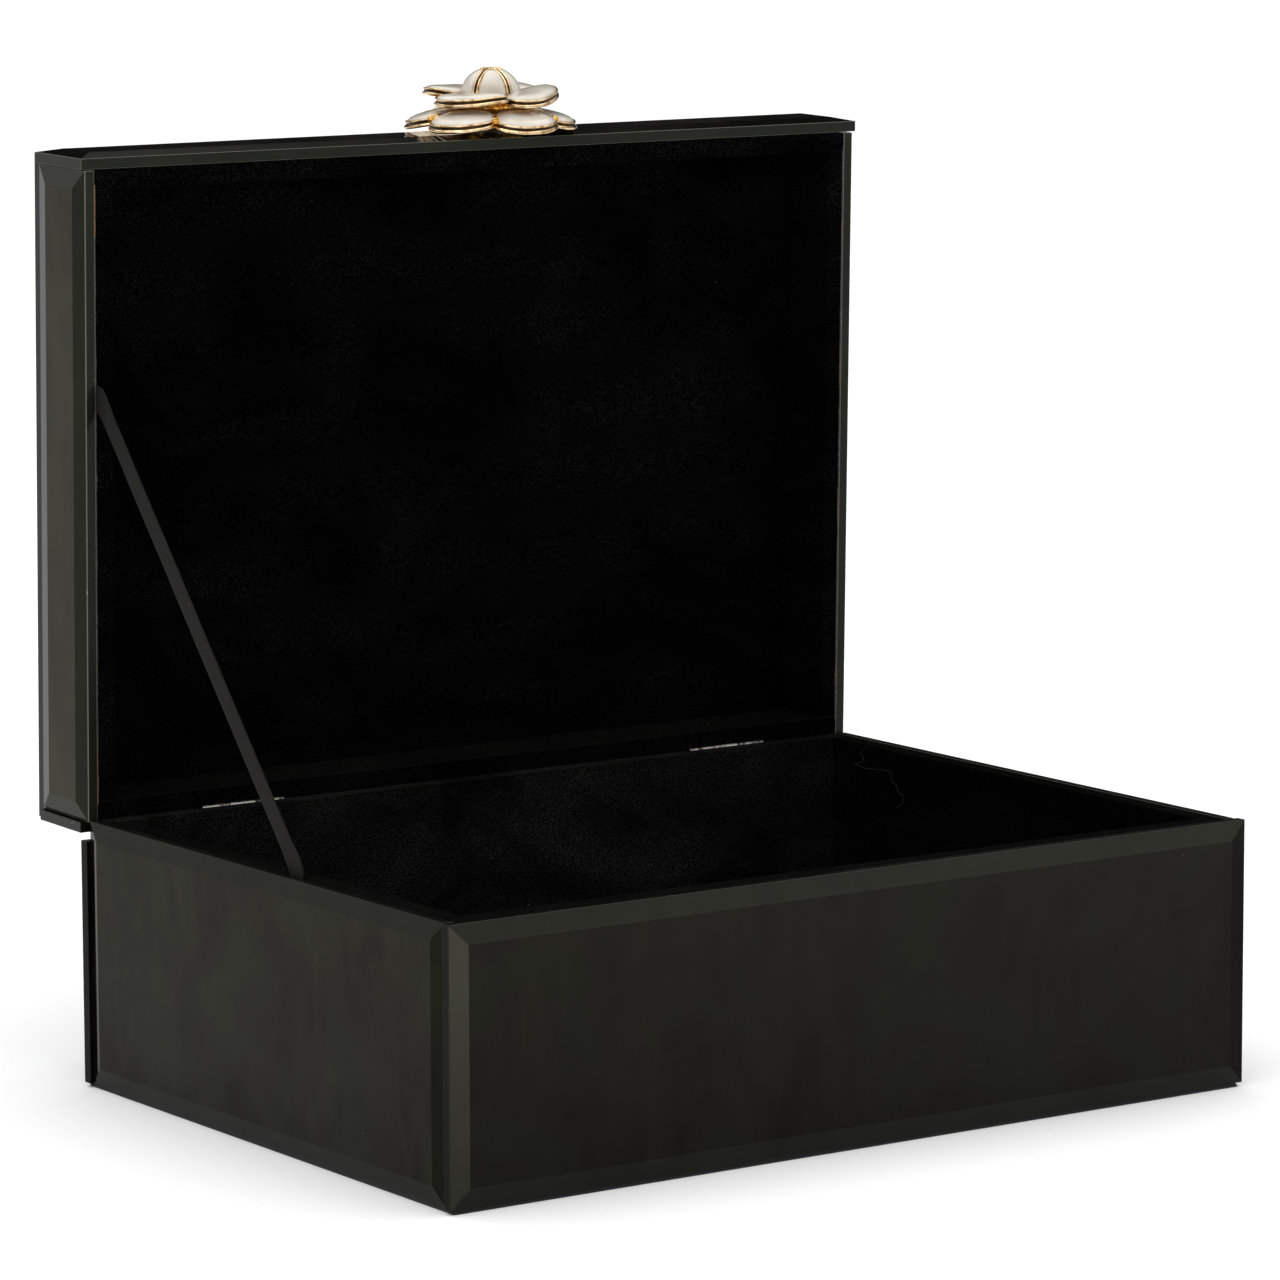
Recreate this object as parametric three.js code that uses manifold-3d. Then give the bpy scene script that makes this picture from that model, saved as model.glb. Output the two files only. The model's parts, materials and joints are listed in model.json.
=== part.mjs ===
// Vanity trinket box: a velvet-lined board carcass clad in bevelled black glass, with a hinged lid,
// a ribbon stay and an enamelled flower knob. Millimetres, +Z up, front towards -Y, and the origin
// at the middle of the resting face. The lid is built closed, then swung open about its hinge pins.
import * as THREE from 'three';
import { mergeVertices } from 'three/addons/utils/BufferGeometryUtils.js';
import Module from 'manifold-3d';

const wasm = await Module();
wasm.setup();

// Overall sizes
const BOX_WIDTH = 254;
const BOX_DEPTH = 183.5;
const BASE_HEIGHT = 73;
const LID_HEIGHT = 28.8;
const LID_OPEN_DEG = 88.8;

// Clearances
const GLUE = 0.3;           // glue line between any two bonded sheets
const PARTING_GAP = 0.3;    // between the base rim and the lid rim when closed
const LEAF_CLEARANCE = 0.3; // around a hinge leaf in its pocket

// Glass panels
const GLASS = 4;
const BEVEL_RUNS = { front: 5.3, rear: 5.3, left: 5, right: 5, top: 5.3 };
const BEVEL_DROP = 1.1;
const LID_COVER_INSET = 1.4;      // from the sides of the box to the lid's top panel, all round
const BASE_REAR_GLASS_DROP = 5.5; // the base rear glass stops below the rim to clear the hinges
const LID_REAR_GLASS_LIFT = 2.5;  // the lid rear glass stops above the rim for the same reason

// Carcass and lining
const BOARD = 4;
const LINING = 0.9;
const FLOOR_PAD = 1.6;
const FELT = 0.8;
const FELT_INSET = 1.5;

// Hinges
const HINGE_LENGTH = 26;
const HINGE_INSETS = { left: 48.5, right: 44 }; // from the side of the box to a hinge's middle
const HINGE_PIN_DROP = 0.5;  // from the base rim down to the pin
const LEAF = 0.8;
const BARREL_RADIUS = 1.3;
const PIN_RADIUS = 0.6;
const PIN_PLAY = 0.06;
const KNUCKLE_GAP = 0.3;

// Hinge screws
const SCREW_HEAD_RADIUS = 1;
const SCREW_SHANK_RADIUS = 0.5;
const SCREW_LENGTH = 6;
const SCREW_HEAD_DEPTH = 0.5;
const SCREW_CLEARANCE = 0.15;
const SCREW_SPACING = 17;
const SCREW_INSET = 2.8;    // from the rear of the carcass to a screw
const SCREW_SLOT_WIDTH = 0.35;
const SCREW_SLOT_DEPTH = 0.3;

// Ribbon stay, on the left wall only
const RIBBON_WIDTH = 5.6;
const RIBBON_THICKNESS = 0.45;
const RIBBON_BASE_TUCK = 16;    // length held in the base's left wall
const RIBBON_END_ROOM = 4.5;    // from the ribbon's end in the lid's wall to the lid's top board
const RIBBON_BASE_REACH = 100;  // from the hinge pin to the ribbon along the base rim
const RIBBON_LID_REACH = 114.5; // from the hinge pin to the ribbon along the lid rim
const RIBBON_BOW = 0.8;         // how far the ribbon sags from a straight line
const RIBBON_RISE = 5;          // straight stretch above the base rim before the ribbon slants
const RIBBON_PLAY = 1.8;        // room on each edge of the ribbon in its channel

// Flower knob, on the lid's front wall; heights are measured out from the glass. A petal layer has
// its number of petals, reach, height of its under face at the hub, rise and ripple out to the tips,
// turn in degrees, and the share of its reach left bare round the hub.
const KNOB_X = 11.5;          // from the middle of the lid to the knob
const KNOB_COLLAR_RADIUS = 6;
const STUD_RADIUS = 1.5;
const STUD_PLAY = 0.15;
const LOWER_PETALS = { count: 6, radius: 24, hub: 4.2, rise: -2.4, wave: 0.4, turn: 30.4, bare: 0.58 };
const UPPER_PETALS = { count: 4, radius: 19, hub: 9, rise: -0.6, wave: 0.6, turn: 32.4, bare: 0.68 };
const PETAL_THICKNESS = 1.2;
const PETAL_NOTCH = 0.66;     // reach at a notch as a share of the reach at a petal's tip
const PETAL_ROUNDNESS = 0.6;  // lower makes blunter petals
const ENAMEL = 0.5;
const ENAMEL_LIFT = 0.15;
const ENAMEL_END = 0.93;      // where the enamel ends, as a share of a petal's reach
const SPACER_RADIUS = 9;
const BUD_RADIUS = 8.2;
const BUD_HEIGHT = 7;
const BUD_BORE_DEPTH = 3.5;
const WASHER_RADIUS = 3.5;
const WASHER = 0.5;
const NUT_ACROSS_CORNERS = 6.4;
const NUT_HEIGHT = 1.6;       // a thin nut, so that the lining can cover it
const STUD_PAST_NUT = 0.2;
const NUT_GAP = 0.05;         // between the board, the washer and the nut
const NUT_POCKET_PLAY = 0.3;  // round the washer in its pocket

// Finishes
const FINISHES = {
  glass: { color: 0x0b0b0a, roughness: 0.06, metalness: 0 },
  board: { color: 0x6b4a2c, roughness: 0.8, metalness: 0 },
  velvet: { color: 0x0c0c0d, roughness: 1, metalness: 0 },
  felt: { color: 0x141414, roughness: 1, metalness: 0 },
  nickel: { color: 0xc9c9c6, roughness: 0.3, metalness: 1 },
  gold: { color: 0xd9b26a, roughness: 0.25, metalness: 1 },
  enamel: { color: 0xf3ecdd, roughness: 0.15, metalness: 0 },
  ribbon: { color: 0x34342f, roughness: 0.7, metalness: 0 },
};

// Levels and half sizes that follow from the driving sizes
const HALF_WIDTH = BOX_WIDTH / 2;
const HALF_DEPTH = BOX_DEPTH / 2;
const CLADDING = GLASS + GLUE;
const WALL = CLADDING + BOARD + GLUE + LINING;
const BASE_GLASS_FOOT = FELT + GLUE;
const LID_RIM = BASE_HEIGHT + PARTING_GAP;
const LID_TOP = LID_RIM + LID_HEIGHT;
const LID_TOP_GLASS_UNDER = LID_TOP - GLASS;
const PIN_Y = HALF_DEPTH - CLADDING;
const PIN_Z = BASE_HEIGHT - HINGE_PIN_DROP;
const KNOB_Z = LID_RIM + LID_HEIGHT / 2;
const RIBBON_LID_TUCK = LID_HEIGHT - CLADDING - BOARD - RIBBON_END_ROOM;
const NUT_POCKET = 2 * NUT_GAP + WASHER + NUT_HEIGHT + STUD_PAST_NUT; // its depth in the front board

// ---- solid helpers ----

// Turns a closed geometry into a manifold solid.
function toSolid(geometry) {
  const bare = geometry.clone();
  bare.deleteAttribute('normal');
  bare.deleteAttribute('uv');
  const merged = mergeVertices(bare, 1e-5);
  return new wasm.Manifold(new wasm.Mesh({
    numProp: 3,
    vertProperties: new Float32Array(merged.attributes.position.array),
    triVerts: new Uint32Array(merged.index.array),
  }));
}

// Turns a manifold solid back into a geometry.
function toGeometry(solid) {
  const mesh = solid.getMesh();
  const geometry = new THREE.BufferGeometry();
  geometry.setAttribute('position', new THREE.BufferAttribute(mesh.vertProperties, 3));
  geometry.setIndex(new THREE.BufferAttribute(mesh.triVerts, 1));
  geometry.computeVertexNormals();
  return geometry;
}

// A box from its low and high corners.
function slab(low, high) {
  const size = high.map((value, axis) => value - low[axis]);
  const geometry = new THREE.BoxGeometry(...size);
  geometry.translate(...low.map((value, axis) => (value + high[axis]) / 2));
  return geometry;
}

// A cylinder along one axis ('x', 'y' or 'z'), centred on a point.
function rod(radius, length, axis, centre, sides = 24) {
  const geometry = new THREE.CylinderGeometry(radius, radius, length, sides);
  if (axis === 'x') geometry.rotateZ(Math.PI / 2);
  if (axis === 'z') geometry.rotateX(Math.PI / 2);
  geometry.translate(...centre);
  return geometry;
}

// A geometry with others cut away from it.
function cut(geometry, ...tools) {
  let solid = toSolid(geometry);
  for (const tool of tools) {
    solid = solid.subtract(toSolid(tool));
  }
  return toGeometry(solid);
}

// Geometries joined into one.
function join(...geometries) {
  return toGeometry(wasm.Manifold.union(geometries.map(toSolid)));
}

function piece(name, finish, geometry) {
  const mesh = new THREE.Mesh(geometry, new THREE.MeshStandardMaterial(FINISHES[finish]));
  mesh.name = name;
  return mesh;
}

// ---- glass ----

// A glass panel lying in XY with its bevelled face up; the bevel runs round all four edges.
function bevelledPanel(width, height, run) {
  const edge = GLASS - BEVEL_DROP;
  const points = [];
  for (const [inset, level] of [[0, 0], [0, edge], [run, GLASS]]) {
    const x = width / 2 - inset;
    const y = height / 2 - inset;
    points.push(-x, -y, level, x, -y, level, x, y, level, -x, y, level);
  }
  const faces = [0, 3, 2, 0, 2, 1, 8, 9, 10, 8, 10, 11];
  for (const ring of [0, 4]) {
    for (let corner = 0; corner < 4; corner += 1) {
      const a = ring + corner;
      const b = ring + (corner + 1) % 4;
      faces.push(a, b, b + 4, a, b + 4, a + 4);
    }
  }
  const geometry = new THREE.BufferGeometry();
  geometry.setAttribute('position', new THREE.Float32BufferAttribute(points, 3));
  geometry.setIndex(faces);
  geometry.computeVertexNormals();
  return geometry;
}

// A panel standing on one side of the box: its back lies against the carcass, its bevels face out.
function wallPanel(side, length, bottom, top) {
  const geometry = bevelledPanel(length, top - bottom, BEVEL_RUNS[side]);
  geometry.rotateX(Math.PI / 2);
  geometry.translate(0, -HALF_DEPTH + GLASS, (bottom + top) / 2);
  if (side === 'rear') geometry.rotateZ(Math.PI);
  if (side === 'left' || side === 'right') {
    geometry.translate(0, HALF_DEPTH - HALF_WIDTH, 0);
    geometry.rotateZ(side === 'right' ? Math.PI / 2 : -Math.PI / 2);
  }
  return geometry;
}

const SIDE_PANEL_LENGTH = BOX_DEPTH - 2 * (GLASS + GLUE);

function baseGlass() {
  const rearTop = BASE_HEIGHT - BASE_REAR_GLASS_DROP;
  return [
    piece('base_front_glass', 'glass', wallPanel('front', BOX_WIDTH, BASE_GLASS_FOOT, BASE_HEIGHT)),
    piece('base_rear_glass', 'glass', wallPanel('rear', BOX_WIDTH, BASE_GLASS_FOOT, rearTop)),
    piece('base_left_glass', 'glass', wallPanel('left', SIDE_PANEL_LENGTH, BASE_GLASS_FOOT, BASE_HEIGHT)),
    piece('base_right_glass', 'glass', wallPanel('right', SIDE_PANEL_LENGTH, BASE_GLASS_FOOT, BASE_HEIGHT)),
  ];
}

function lidGlass() {
  const top = LID_TOP_GLASS_UNDER - GLUE;
  const coverWidth = BOX_WIDTH - 2 * LID_COVER_INSET;
  const coverDepth = BOX_DEPTH - 2 * LID_COVER_INSET;
  const cover = bevelledPanel(coverWidth, coverDepth, BEVEL_RUNS.top);
  cover.translate(0, 0, LID_TOP_GLASS_UNDER);
  const studHole = rod(STUD_RADIUS + STUD_PLAY, 4 * GLASS, 'y', [KNOB_X, -HALF_DEPTH, KNOB_Z]);
  const front = cut(wallPanel('front', BOX_WIDTH, LID_RIM, top), studHole);
  return [
    piece('lid_top_glass', 'glass', cover),
    piece('lid_front_glass', 'glass', front),
    piece('lid_rear_glass', 'glass', wallPanel('rear', BOX_WIDTH, LID_RIM + LID_REAR_GLASS_LIFT, top)),
    piece('lid_left_glass', 'glass', wallPanel('left', SIDE_PANEL_LENGTH, LID_RIM, top)),
    piece('lid_right_glass', 'glass', wallPanel('right', SIDE_PANEL_LENGTH, LID_RIM, top)),
  ];
}

// ---- hinges ----

const HINGE_CENTRES = {
  left: -(HALF_WIDTH - HINGE_INSETS.left),
  right: HALF_WIDTH - HINGE_INSETS.right,
};

// The rear edge of the carcass and the inner edge of its rim, measured along Y.
const CARCASS_REAR = HALF_DEPTH - CLADDING;
const RIM_INNER_REAR = HALF_DEPTH - WALL;
const LEAF_INNER_EDGE = RIM_INNER_REAR + LEAF_CLEARANCE;
const SCREW_Y = CARCASS_REAR - SCREW_INSET;

function screwPlaces(x) {
  return [x - SCREW_SPACING / 2, x + SCREW_SPACING / 2];
}

// Pockets for the leaves and holes for the screws, to be cut from boards and linings.
// The rim faces up on the base (facing = 1) and down on the closed lid (facing = -1).
function hingePockets(rim, facing) {
  const tools = [];
  for (const x of Object.values(HINGE_CENTRES)) {
    const half = HINGE_LENGTH / 2 + LEAF_CLEARANCE;
    const floor = rim - facing * (LEAF + LEAF_CLEARANCE);
    const beyond = rim + facing * BOARD;
    const low = Math.min(floor, beyond);
    const high = Math.max(floor, beyond);
    tools.push(slab([x - half, RIM_INNER_REAR - BOARD, low], [x + half, HALF_DEPTH + BOARD, high]));
    tools.push(rod(BARREL_RADIUS + LEAF_CLEARANCE, 2 * half, 'x', [x, PIN_Y, PIN_Z]));
    for (const screwX of screwPlaces(x)) {
      const depth = SCREW_LENGTH + 2 * SCREW_CLEARANCE;
      const radius = SCREW_SHANK_RADIUS + SCREW_CLEARANCE;
      tools.push(rod(radius, 2 * depth, 'z', [screwX, SCREW_Y, rim], 16));
    }
  }
  return tools;
}

// A leaf with its knuckles. The base leaf holds the outer two knuckles and the lid leaf the middle one.
function hingeLeaf(x, rim, facing, holdsMiddle) {
  const outer = rim;
  const inner = rim - facing * LEAF;
  const low = Math.min(outer, inner);
  const high = Math.max(outer, inner);
  const plate = slab([x - HINGE_LENGTH / 2, LEAF_INNER_EDGE, low], [x + HINGE_LENGTH / 2, PIN_Y, high]);
  const knuckle = HINGE_LENGTH / 3;
  const starts = holdsMiddle ? [1] : [0, 2];
  const barrels = [];
  const reliefs = [];
  for (const index of [0, 1, 2]) {
    const middle = x - HINGE_LENGTH / 2 + (index + 0.5) * knuckle;
    if (starts.includes(index)) {
      barrels.push(rod(BARREL_RADIUS, knuckle - KNUCKLE_GAP, 'x', [middle, PIN_Y, PIN_Z]));
    } else {
      const reach = knuckle / 2 + KNUCKLE_GAP / 2;
      const front = PIN_Y - BARREL_RADIUS - LEAF_CLEARANCE;
      const low = PIN_Z - 2 * BARREL_RADIUS;
      const high = PIN_Z + 2 * BARREL_RADIUS;
      reliefs.push(slab([middle - reach, front, low], [middle + reach, HALF_DEPTH, high]));
    }
  }
  const bore = rod(PIN_RADIUS + PIN_PLAY, 2 * HINGE_LENGTH, 'x', [x, PIN_Y, PIN_Z]);
  const cutTools = [...reliefs, bore];
  for (const screwX of screwPlaces(x)) {
    cutTools.push(countersink(screwX, rim, facing));
  }
  return cut(join(plate, ...barrels), ...cutTools);
}

function countersink(x, rim, facing) {
  const profile = screwProfile(SCREW_CLEARANCE);
  const tool = new THREE.LatheGeometry(profile, 16);
  tool.rotateX(facing > 0 ? Math.PI / 2 : -Math.PI / 2);
  tool.translate(x, SCREW_Y, rim);
  return tool;
}

// Half section of a countersunk screw standing along Y with its head's face at the origin.
function screwProfile(grow) {
  const head = SCREW_HEAD_RADIUS + grow;
  const shank = SCREW_SHANK_RADIUS + grow;
  return [
    new THREE.Vector2(0, -SCREW_LENGTH - grow),
    new THREE.Vector2(shank, -SCREW_LENGTH + shank / 2 - grow),
    new THREE.Vector2(shank, -SCREW_HEAD_DEPTH - grow),
    new THREE.Vector2(head, grow > 0 ? 0 : -0.1),
    new THREE.Vector2(head, grow > 0 ? 1 : 0),
    new THREE.Vector2(0, grow > 0 ? 1 : 0),
  ];
}

function hingeScrew(x, rim, facing) {
  const body = new THREE.LatheGeometry(screwProfile(0), 16);
  const reach = SCREW_HEAD_RADIUS * 2;
  const slot = slab([-reach, -SCREW_SLOT_DEPTH, -SCREW_SLOT_WIDTH / 2], [reach, 1, SCREW_SLOT_WIDTH / 2]);
  const screw = cut(body, slot);
  screw.rotateX(facing > 0 ? Math.PI / 2 : -Math.PI / 2);
  screw.translate(x, SCREW_Y, rim);
  return screw;
}

function hingePieces(rim, facing, body) {
  const pieces = [];
  for (const [side, x] of Object.entries(HINGE_CENTRES)) {
    const leaf = hingeLeaf(x, rim, facing, body === 'lid');
    pieces.push(piece(`hinge_${side}_${body}_leaf`, 'nickel', leaf));
    screwPlaces(x).forEach((screwX, index) => {
      const screw = hingeScrew(screwX, rim, facing);
      pieces.push(piece(`hinge_${side}_${body}_screw_${index + 1}`, 'nickel', screw));
    });
    if (body === 'base') {
      const pin = rod(PIN_RADIUS, HINGE_LENGTH, 'x', [x, PIN_Y, PIN_Z]);
      pieces.push(piece(`hinge_${side}_pin`, 'nickel', pin));
    }
  }
  return pieces;
}

// ---- carcass ----

const CARCASS_X = HALF_WIDTH - CLADDING;
const CARCASS_Y = HALF_DEPTH - CLADDING;
const BOARD_INNER_X = CARCASS_X - BOARD;
const BOARD_INNER_Y = CARCASS_Y - BOARD;
const RIM_FLANGE = LINING + GLUE; // the lining turned over the rim, and its glue

// The shallow channel in a left board that holds an end of the ribbon.
function ribbonChannel(y, low, high) {
  const half = RIBBON_WIDTH / 2 + RIBBON_PLAY;
  const depth = RIBBON_THICKNESS + GLUE;
  return slab([-HALF_WIDTH, y - half, low], [-CARCASS_X + depth, y + half, high]);
}

// Four boards round a rectangle: front and rear run the full width, the sides fit between them.
function wallBoards(low, high) {
  const sideY = BOARD_INNER_Y - GLUE;
  return {
    front: slab([-CARCASS_X, -CARCASS_Y, low], [CARCASS_X, -BOARD_INNER_Y, high]),
    rear: slab([-CARCASS_X, BOARD_INNER_Y, low], [CARCASS_X, CARCASS_Y, high]),
    left: slab([-CARCASS_X, -sideY, low], [-BOARD_INNER_X, sideY, high]),
    right: slab([BOARD_INNER_X, -sideY, low], [CARCASS_X, sideY, high]),
  };
}

function baseBoards() {
  const walls = wallBoards(BASE_GLASS_FOOT + BOARD + GLUE, BASE_HEIGHT - RIM_FLANGE);
  const floorTop = BASE_GLASS_FOOT + BOARD;
  const floor = slab([-CARCASS_X, -CARCASS_Y, BASE_GLASS_FOOT], [CARCASS_X, CARCASS_Y, floorTop]);
  const channelLow = BASE_HEIGHT - RIBBON_BASE_TUCK - GLUE;
  const channel = ribbonChannel(PIN_Y - RIBBON_BASE_REACH, channelLow, BASE_HEIGHT + 1);
  return [
    piece('base_front_board', 'board', walls.front),
    piece('base_rear_board', 'board', cut(walls.rear, ...hingePockets(BASE_HEIGHT, 1))),
    piece('base_left_board', 'board', cut(walls.left, channel)),
    piece('base_right_board', 'board', walls.right),
    piece('base_bottom_board', 'board', floor),
  ];
}

function lidBoards() {
  const deckTop = LID_TOP_GLASS_UNDER - GLUE;
  const deckUnder = deckTop - BOARD;
  const walls = wallBoards(LID_RIM + RIM_FLANGE, deckUnder - GLUE);
  const deck = slab([-CARCASS_X, -CARCASS_Y, deckUnder], [CARCASS_X, CARCASS_Y, deckTop]);
  const channelHigh = LID_RIM + RIBBON_LID_TUCK + GLUE;
  const channel = ribbonChannel(PIN_Y - RIBBON_LID_REACH, LID_RIM - 1, channelHigh);
  const studHole = rod(STUD_RADIUS + STUD_PLAY, 4 * BOARD, 'y', [KNOB_X, -CARCASS_Y, KNOB_Z]);
  const pocketRadius = WASHER_RADIUS + NUT_POCKET_PLAY;
  const nutPocket = rod(pocketRadius, 2 * NUT_POCKET, 'y', [KNOB_X, -BOARD_INNER_Y, KNOB_Z]);
  return [
    piece('lid_front_board', 'board', cut(walls.front, studHole, nutPocket)),
    piece('lid_rear_board', 'board', cut(walls.rear, ...hingePockets(LID_RIM, -1))),
    piece('lid_left_board', 'board', cut(walls.left, channel)),
    piece('lid_right_board', 'board', walls.right),
    piece('lid_top_board', 'board', deck),
  ];
}

// ---- lining ----

// One wall's lining for a box of the given inner half size: a sheet down the inside of the board,
// turned over the rim. The rim faces up when facing = 1 and down when facing = -1.
function liningSection(rim, facing, foot) {
  const inner = -(BOARD + GLUE + LINING);
  const sheet = inner + LINING;
  const under = rim - facing * LINING;
  const section = new THREE.Shape();
  section.moveTo(inner, foot);
  section.lineTo(sheet, foot);
  section.lineTo(sheet, under);
  section.lineTo(0, under);
  section.lineTo(0, rim);
  section.lineTo(inner, rim);
  section.closePath();
  return section;
}

// The section runs along one wall. Its zero is the outer face of the carcass, its minus is inwards.
function wallLining(side, rim, facing, foot, length) {
  const section = liningSection(rim, facing, foot);
  const geometry = new THREE.ExtrudeGeometry(section, { depth: length, bevelEnabled: false });
  geometry.translate(0, 0, -length / 2);
  geometry.rotateX(Math.PI / 2);
  if (side === 'right') geometry.translate(CARCASS_X, 0, 0);
  if (side === 'left') geometry.rotateZ(Math.PI).translate(-CARCASS_X, 0, 0);
  if (side === 'rear') geometry.rotateZ(Math.PI / 2).translate(0, CARCASS_Y, 0);
  if (side === 'front') geometry.rotateZ(-Math.PI / 2).translate(0, -CARCASS_Y, 0);
  return geometry;
}

const LINING_Y = HALF_DEPTH - WALL;

// The side linings run between the front and rear ones, and take the corner of the rim with them.
function sideLiningLength() {
  return 2 * (LINING_Y - GLUE);
}

function baseLining() {
  const floorTop = BASE_GLASS_FOOT + BOARD + GLUE + FLOOR_PAD;
  const foot = floorTop + GLUE;
  const full = 2 * CARCASS_X;
  const half = 2 * (BOARD_INNER_X - GLUE);
  const sides = sideLiningLength();
  const channel = ribbonChannel(PIN_Y - RIBBON_BASE_REACH, BASE_HEIGHT - RIM_FLANGE, BASE_HEIGHT + 1);
  const trims = cornerTrims(half, 1);
  const pockets = hingePockets(BASE_HEIGHT, 1);
  const rear = cut(wallLining('rear', BASE_HEIGHT, 1, foot, full), ...pockets, ...trims);
  const front = cut(wallLining('front', BASE_HEIGHT, 1, foot, full), ...trims);
  const pad = innerSheet(floorTop - FLOOR_PAD, floorTop);
  return [
    piece('base_front_lining', 'velvet', front),
    piece('base_rear_lining', 'velvet', rear),
    piece('base_left_lining', 'velvet', cut(wallLining('left', BASE_HEIGHT, 1, foot, sides), channel)),
    piece('base_right_lining', 'velvet', wallLining('right', BASE_HEIGHT, 1, foot, sides)),
    piece('base_floor_pad', 'velvet', pad),
  ];
}

// A flat sheet that fills the floor of the box, or the top of the lid, inside its boards.
function innerSheet(low, high) {
  const x = BOARD_INNER_X - GLUE;
  const y = BOARD_INNER_Y - GLUE;
  return slab([-x, -y, low], [x, y, high]);
}

// Cuts away the ends of a full-width lining below its rim flange, where the side boards stand.
function cornerTrims(length, facing) {
  const rim = facing > 0 ? BASE_HEIGHT : LID_RIM;
  const under = rim - facing * (LINING + GLUE / 2);
  const far = rim - facing * BOX_DEPTH;
  const low = Math.min(under, far);
  const high = Math.max(under, far);
  return [-1, 1].map((sign) => {
    const near = sign * length / 2;
    const away = sign * BOX_WIDTH;
    return slab([Math.min(near, away), -BOX_DEPTH, low], [Math.max(near, away), BOX_DEPTH, high]);
  });
}

function lidLining() {
  const deckUnder = LID_TOP_GLASS_UNDER - 2 * GLUE - BOARD;
  const deckLining = deckUnder - LINING;
  const foot = deckLining - GLUE;
  const full = 2 * CARCASS_X;
  const half = 2 * (BOARD_INNER_X - GLUE);
  const sides = sideLiningLength();
  const channel = ribbonChannel(PIN_Y - RIBBON_LID_REACH, LID_RIM - 1, LID_RIM + RIM_FLANGE);
  const trims = cornerTrims(half, -1);
  const pockets = hingePockets(LID_RIM, -1);
  const rear = cut(wallLining('rear', LID_RIM, -1, foot, full), ...pockets, ...trims);
  const front = cut(wallLining('front', LID_RIM, -1, foot, full), ...trims);
  const deck = innerSheet(deckLining, deckUnder);
  return [
    piece('lid_front_lining', 'velvet', front),
    piece('lid_rear_lining', 'velvet', rear),
    piece('lid_left_lining', 'velvet', cut(wallLining('left', LID_RIM, -1, foot, sides), channel)),
    piece('lid_right_lining', 'velvet', wallLining('right', LID_RIM, -1, foot, sides)),
    piece('lid_top_lining', 'velvet', deck),
  ];
}

// ---- felt ----

function baseFelt() {
  const x = HALF_WIDTH - FELT_INSET;
  const y = HALF_DEPTH - FELT_INSET;
  return piece('base_felt', 'felt', slab([-x, -y, 0], [x, y, FELT]));
}

// ---- ribbon stay ----

// Turns a point of the closed lid about the hinge pins into the open pose.
function openPoint(y, z) {
  const angle = THREE.MathUtils.degToRad(-LID_OPEN_DEG);
  const dy = y - PIN_Y;
  const dz = z - PIN_Z;
  const openY = dy * Math.cos(angle) - dz * Math.sin(angle);
  const openZ = dy * Math.sin(angle) + dz * Math.cos(angle);
  return [PIN_Y + openY, PIN_Z + openZ];
}

// The ribbon's middle line in the YZ plane, from its end in the base to its end in the lid.
function ribbonLine() {
  const baseY = PIN_Y - RIBBON_BASE_REACH;
  const lidY = PIN_Y - RIBBON_LID_REACH;
  const start = [baseY, BASE_HEIGHT + RIBBON_RISE];
  const finish = openPoint(lidY, LID_RIM - RIBBON_RISE / 2);
  const along = [finish[0] - start[0], finish[1] - start[1]];
  const length = Math.hypot(...along);
  const across = [along[1] / length, -along[0] / length];
  const points = [[baseY, BASE_HEIGHT - RIBBON_BASE_TUCK], [baseY, BASE_HEIGHT]];
  const steps = 12;
  for (let step = 0; step <= steps; step += 1) {
    const share = step / steps;
    const bow = RIBBON_BOW * Math.sin(Math.PI * share);
    points.push([0, 1].map((axis) => start[axis] + along[axis] * share + across[axis] * bow));
  }
  points.push(openPoint(lidY, LID_RIM), openPoint(lidY, LID_RIM + RIBBON_LID_TUCK));
  return points;
}

// A flat strip: each edge of the ribbon is the middle line moved half a width along its own normal.
function ribbonStay() {
  const line = ribbonLine();
  const outline = new THREE.Shape();
  const edges = [[], []];
  line.forEach((point, index) => {
    const before = line[Math.max(index - 1, 0)];
    const after = line[Math.min(index + 1, line.length - 1)];
    const run = [after[0] - before[0], after[1] - before[1]];
    const length = Math.hypot(...run);
    const across = [-run[1], run[0]].map((value) => value / length * RIBBON_WIDTH / 2);
    edges[0].push([point[0] + across[0], point[1] + across[1]]);
    edges[1].push([point[0] - across[0], point[1] - across[1]]);
  });
  const loop = [...edges[0], ...edges[1].reverse()];
  outline.setFromPoints(loop.map(([y, z]) => new THREE.Vector2(y, z)));
  const geometry = new THREE.ExtrudeGeometry(outline, { depth: RIBBON_THICKNESS, bevelEnabled: false });
  geometry.rotateX(Math.PI / 2);
  geometry.rotateZ(Math.PI / 2);
  geometry.translate(-CARCASS_X + GLUE / 2, 0, 0);
  return piece('ribbon_stay', 'ribbon', geometry);
}

// ---- flower knob ----

// How far a petal layer reaches at a given angle: full at a petal's middle, short at a notch.
function petalReach(layer, angle) {
  const phase = (angle - THREE.MathUtils.degToRad(layer.turn)) * layer.count / 2;
  const fullness = Math.pow(Math.abs(Math.cos(phase)), PETAL_ROUNDNESS);
  return layer.radius * (PETAL_NOTCH + (1 - PETAL_NOTCH) * fullness);
}

// The height of a petal layer's upper face: flat at the hub, then drooping and rippled.
function petalHeight(layer, share, angle) {
  const phase = (angle - THREE.MathUtils.degToRad(layer.turn)) * layer.count;
  const ripple = layer.wave * Math.cos(phase);
  return layer.hub + PETAL_THICKNESS + (layer.rise + ripple) * share * share;
}

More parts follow.
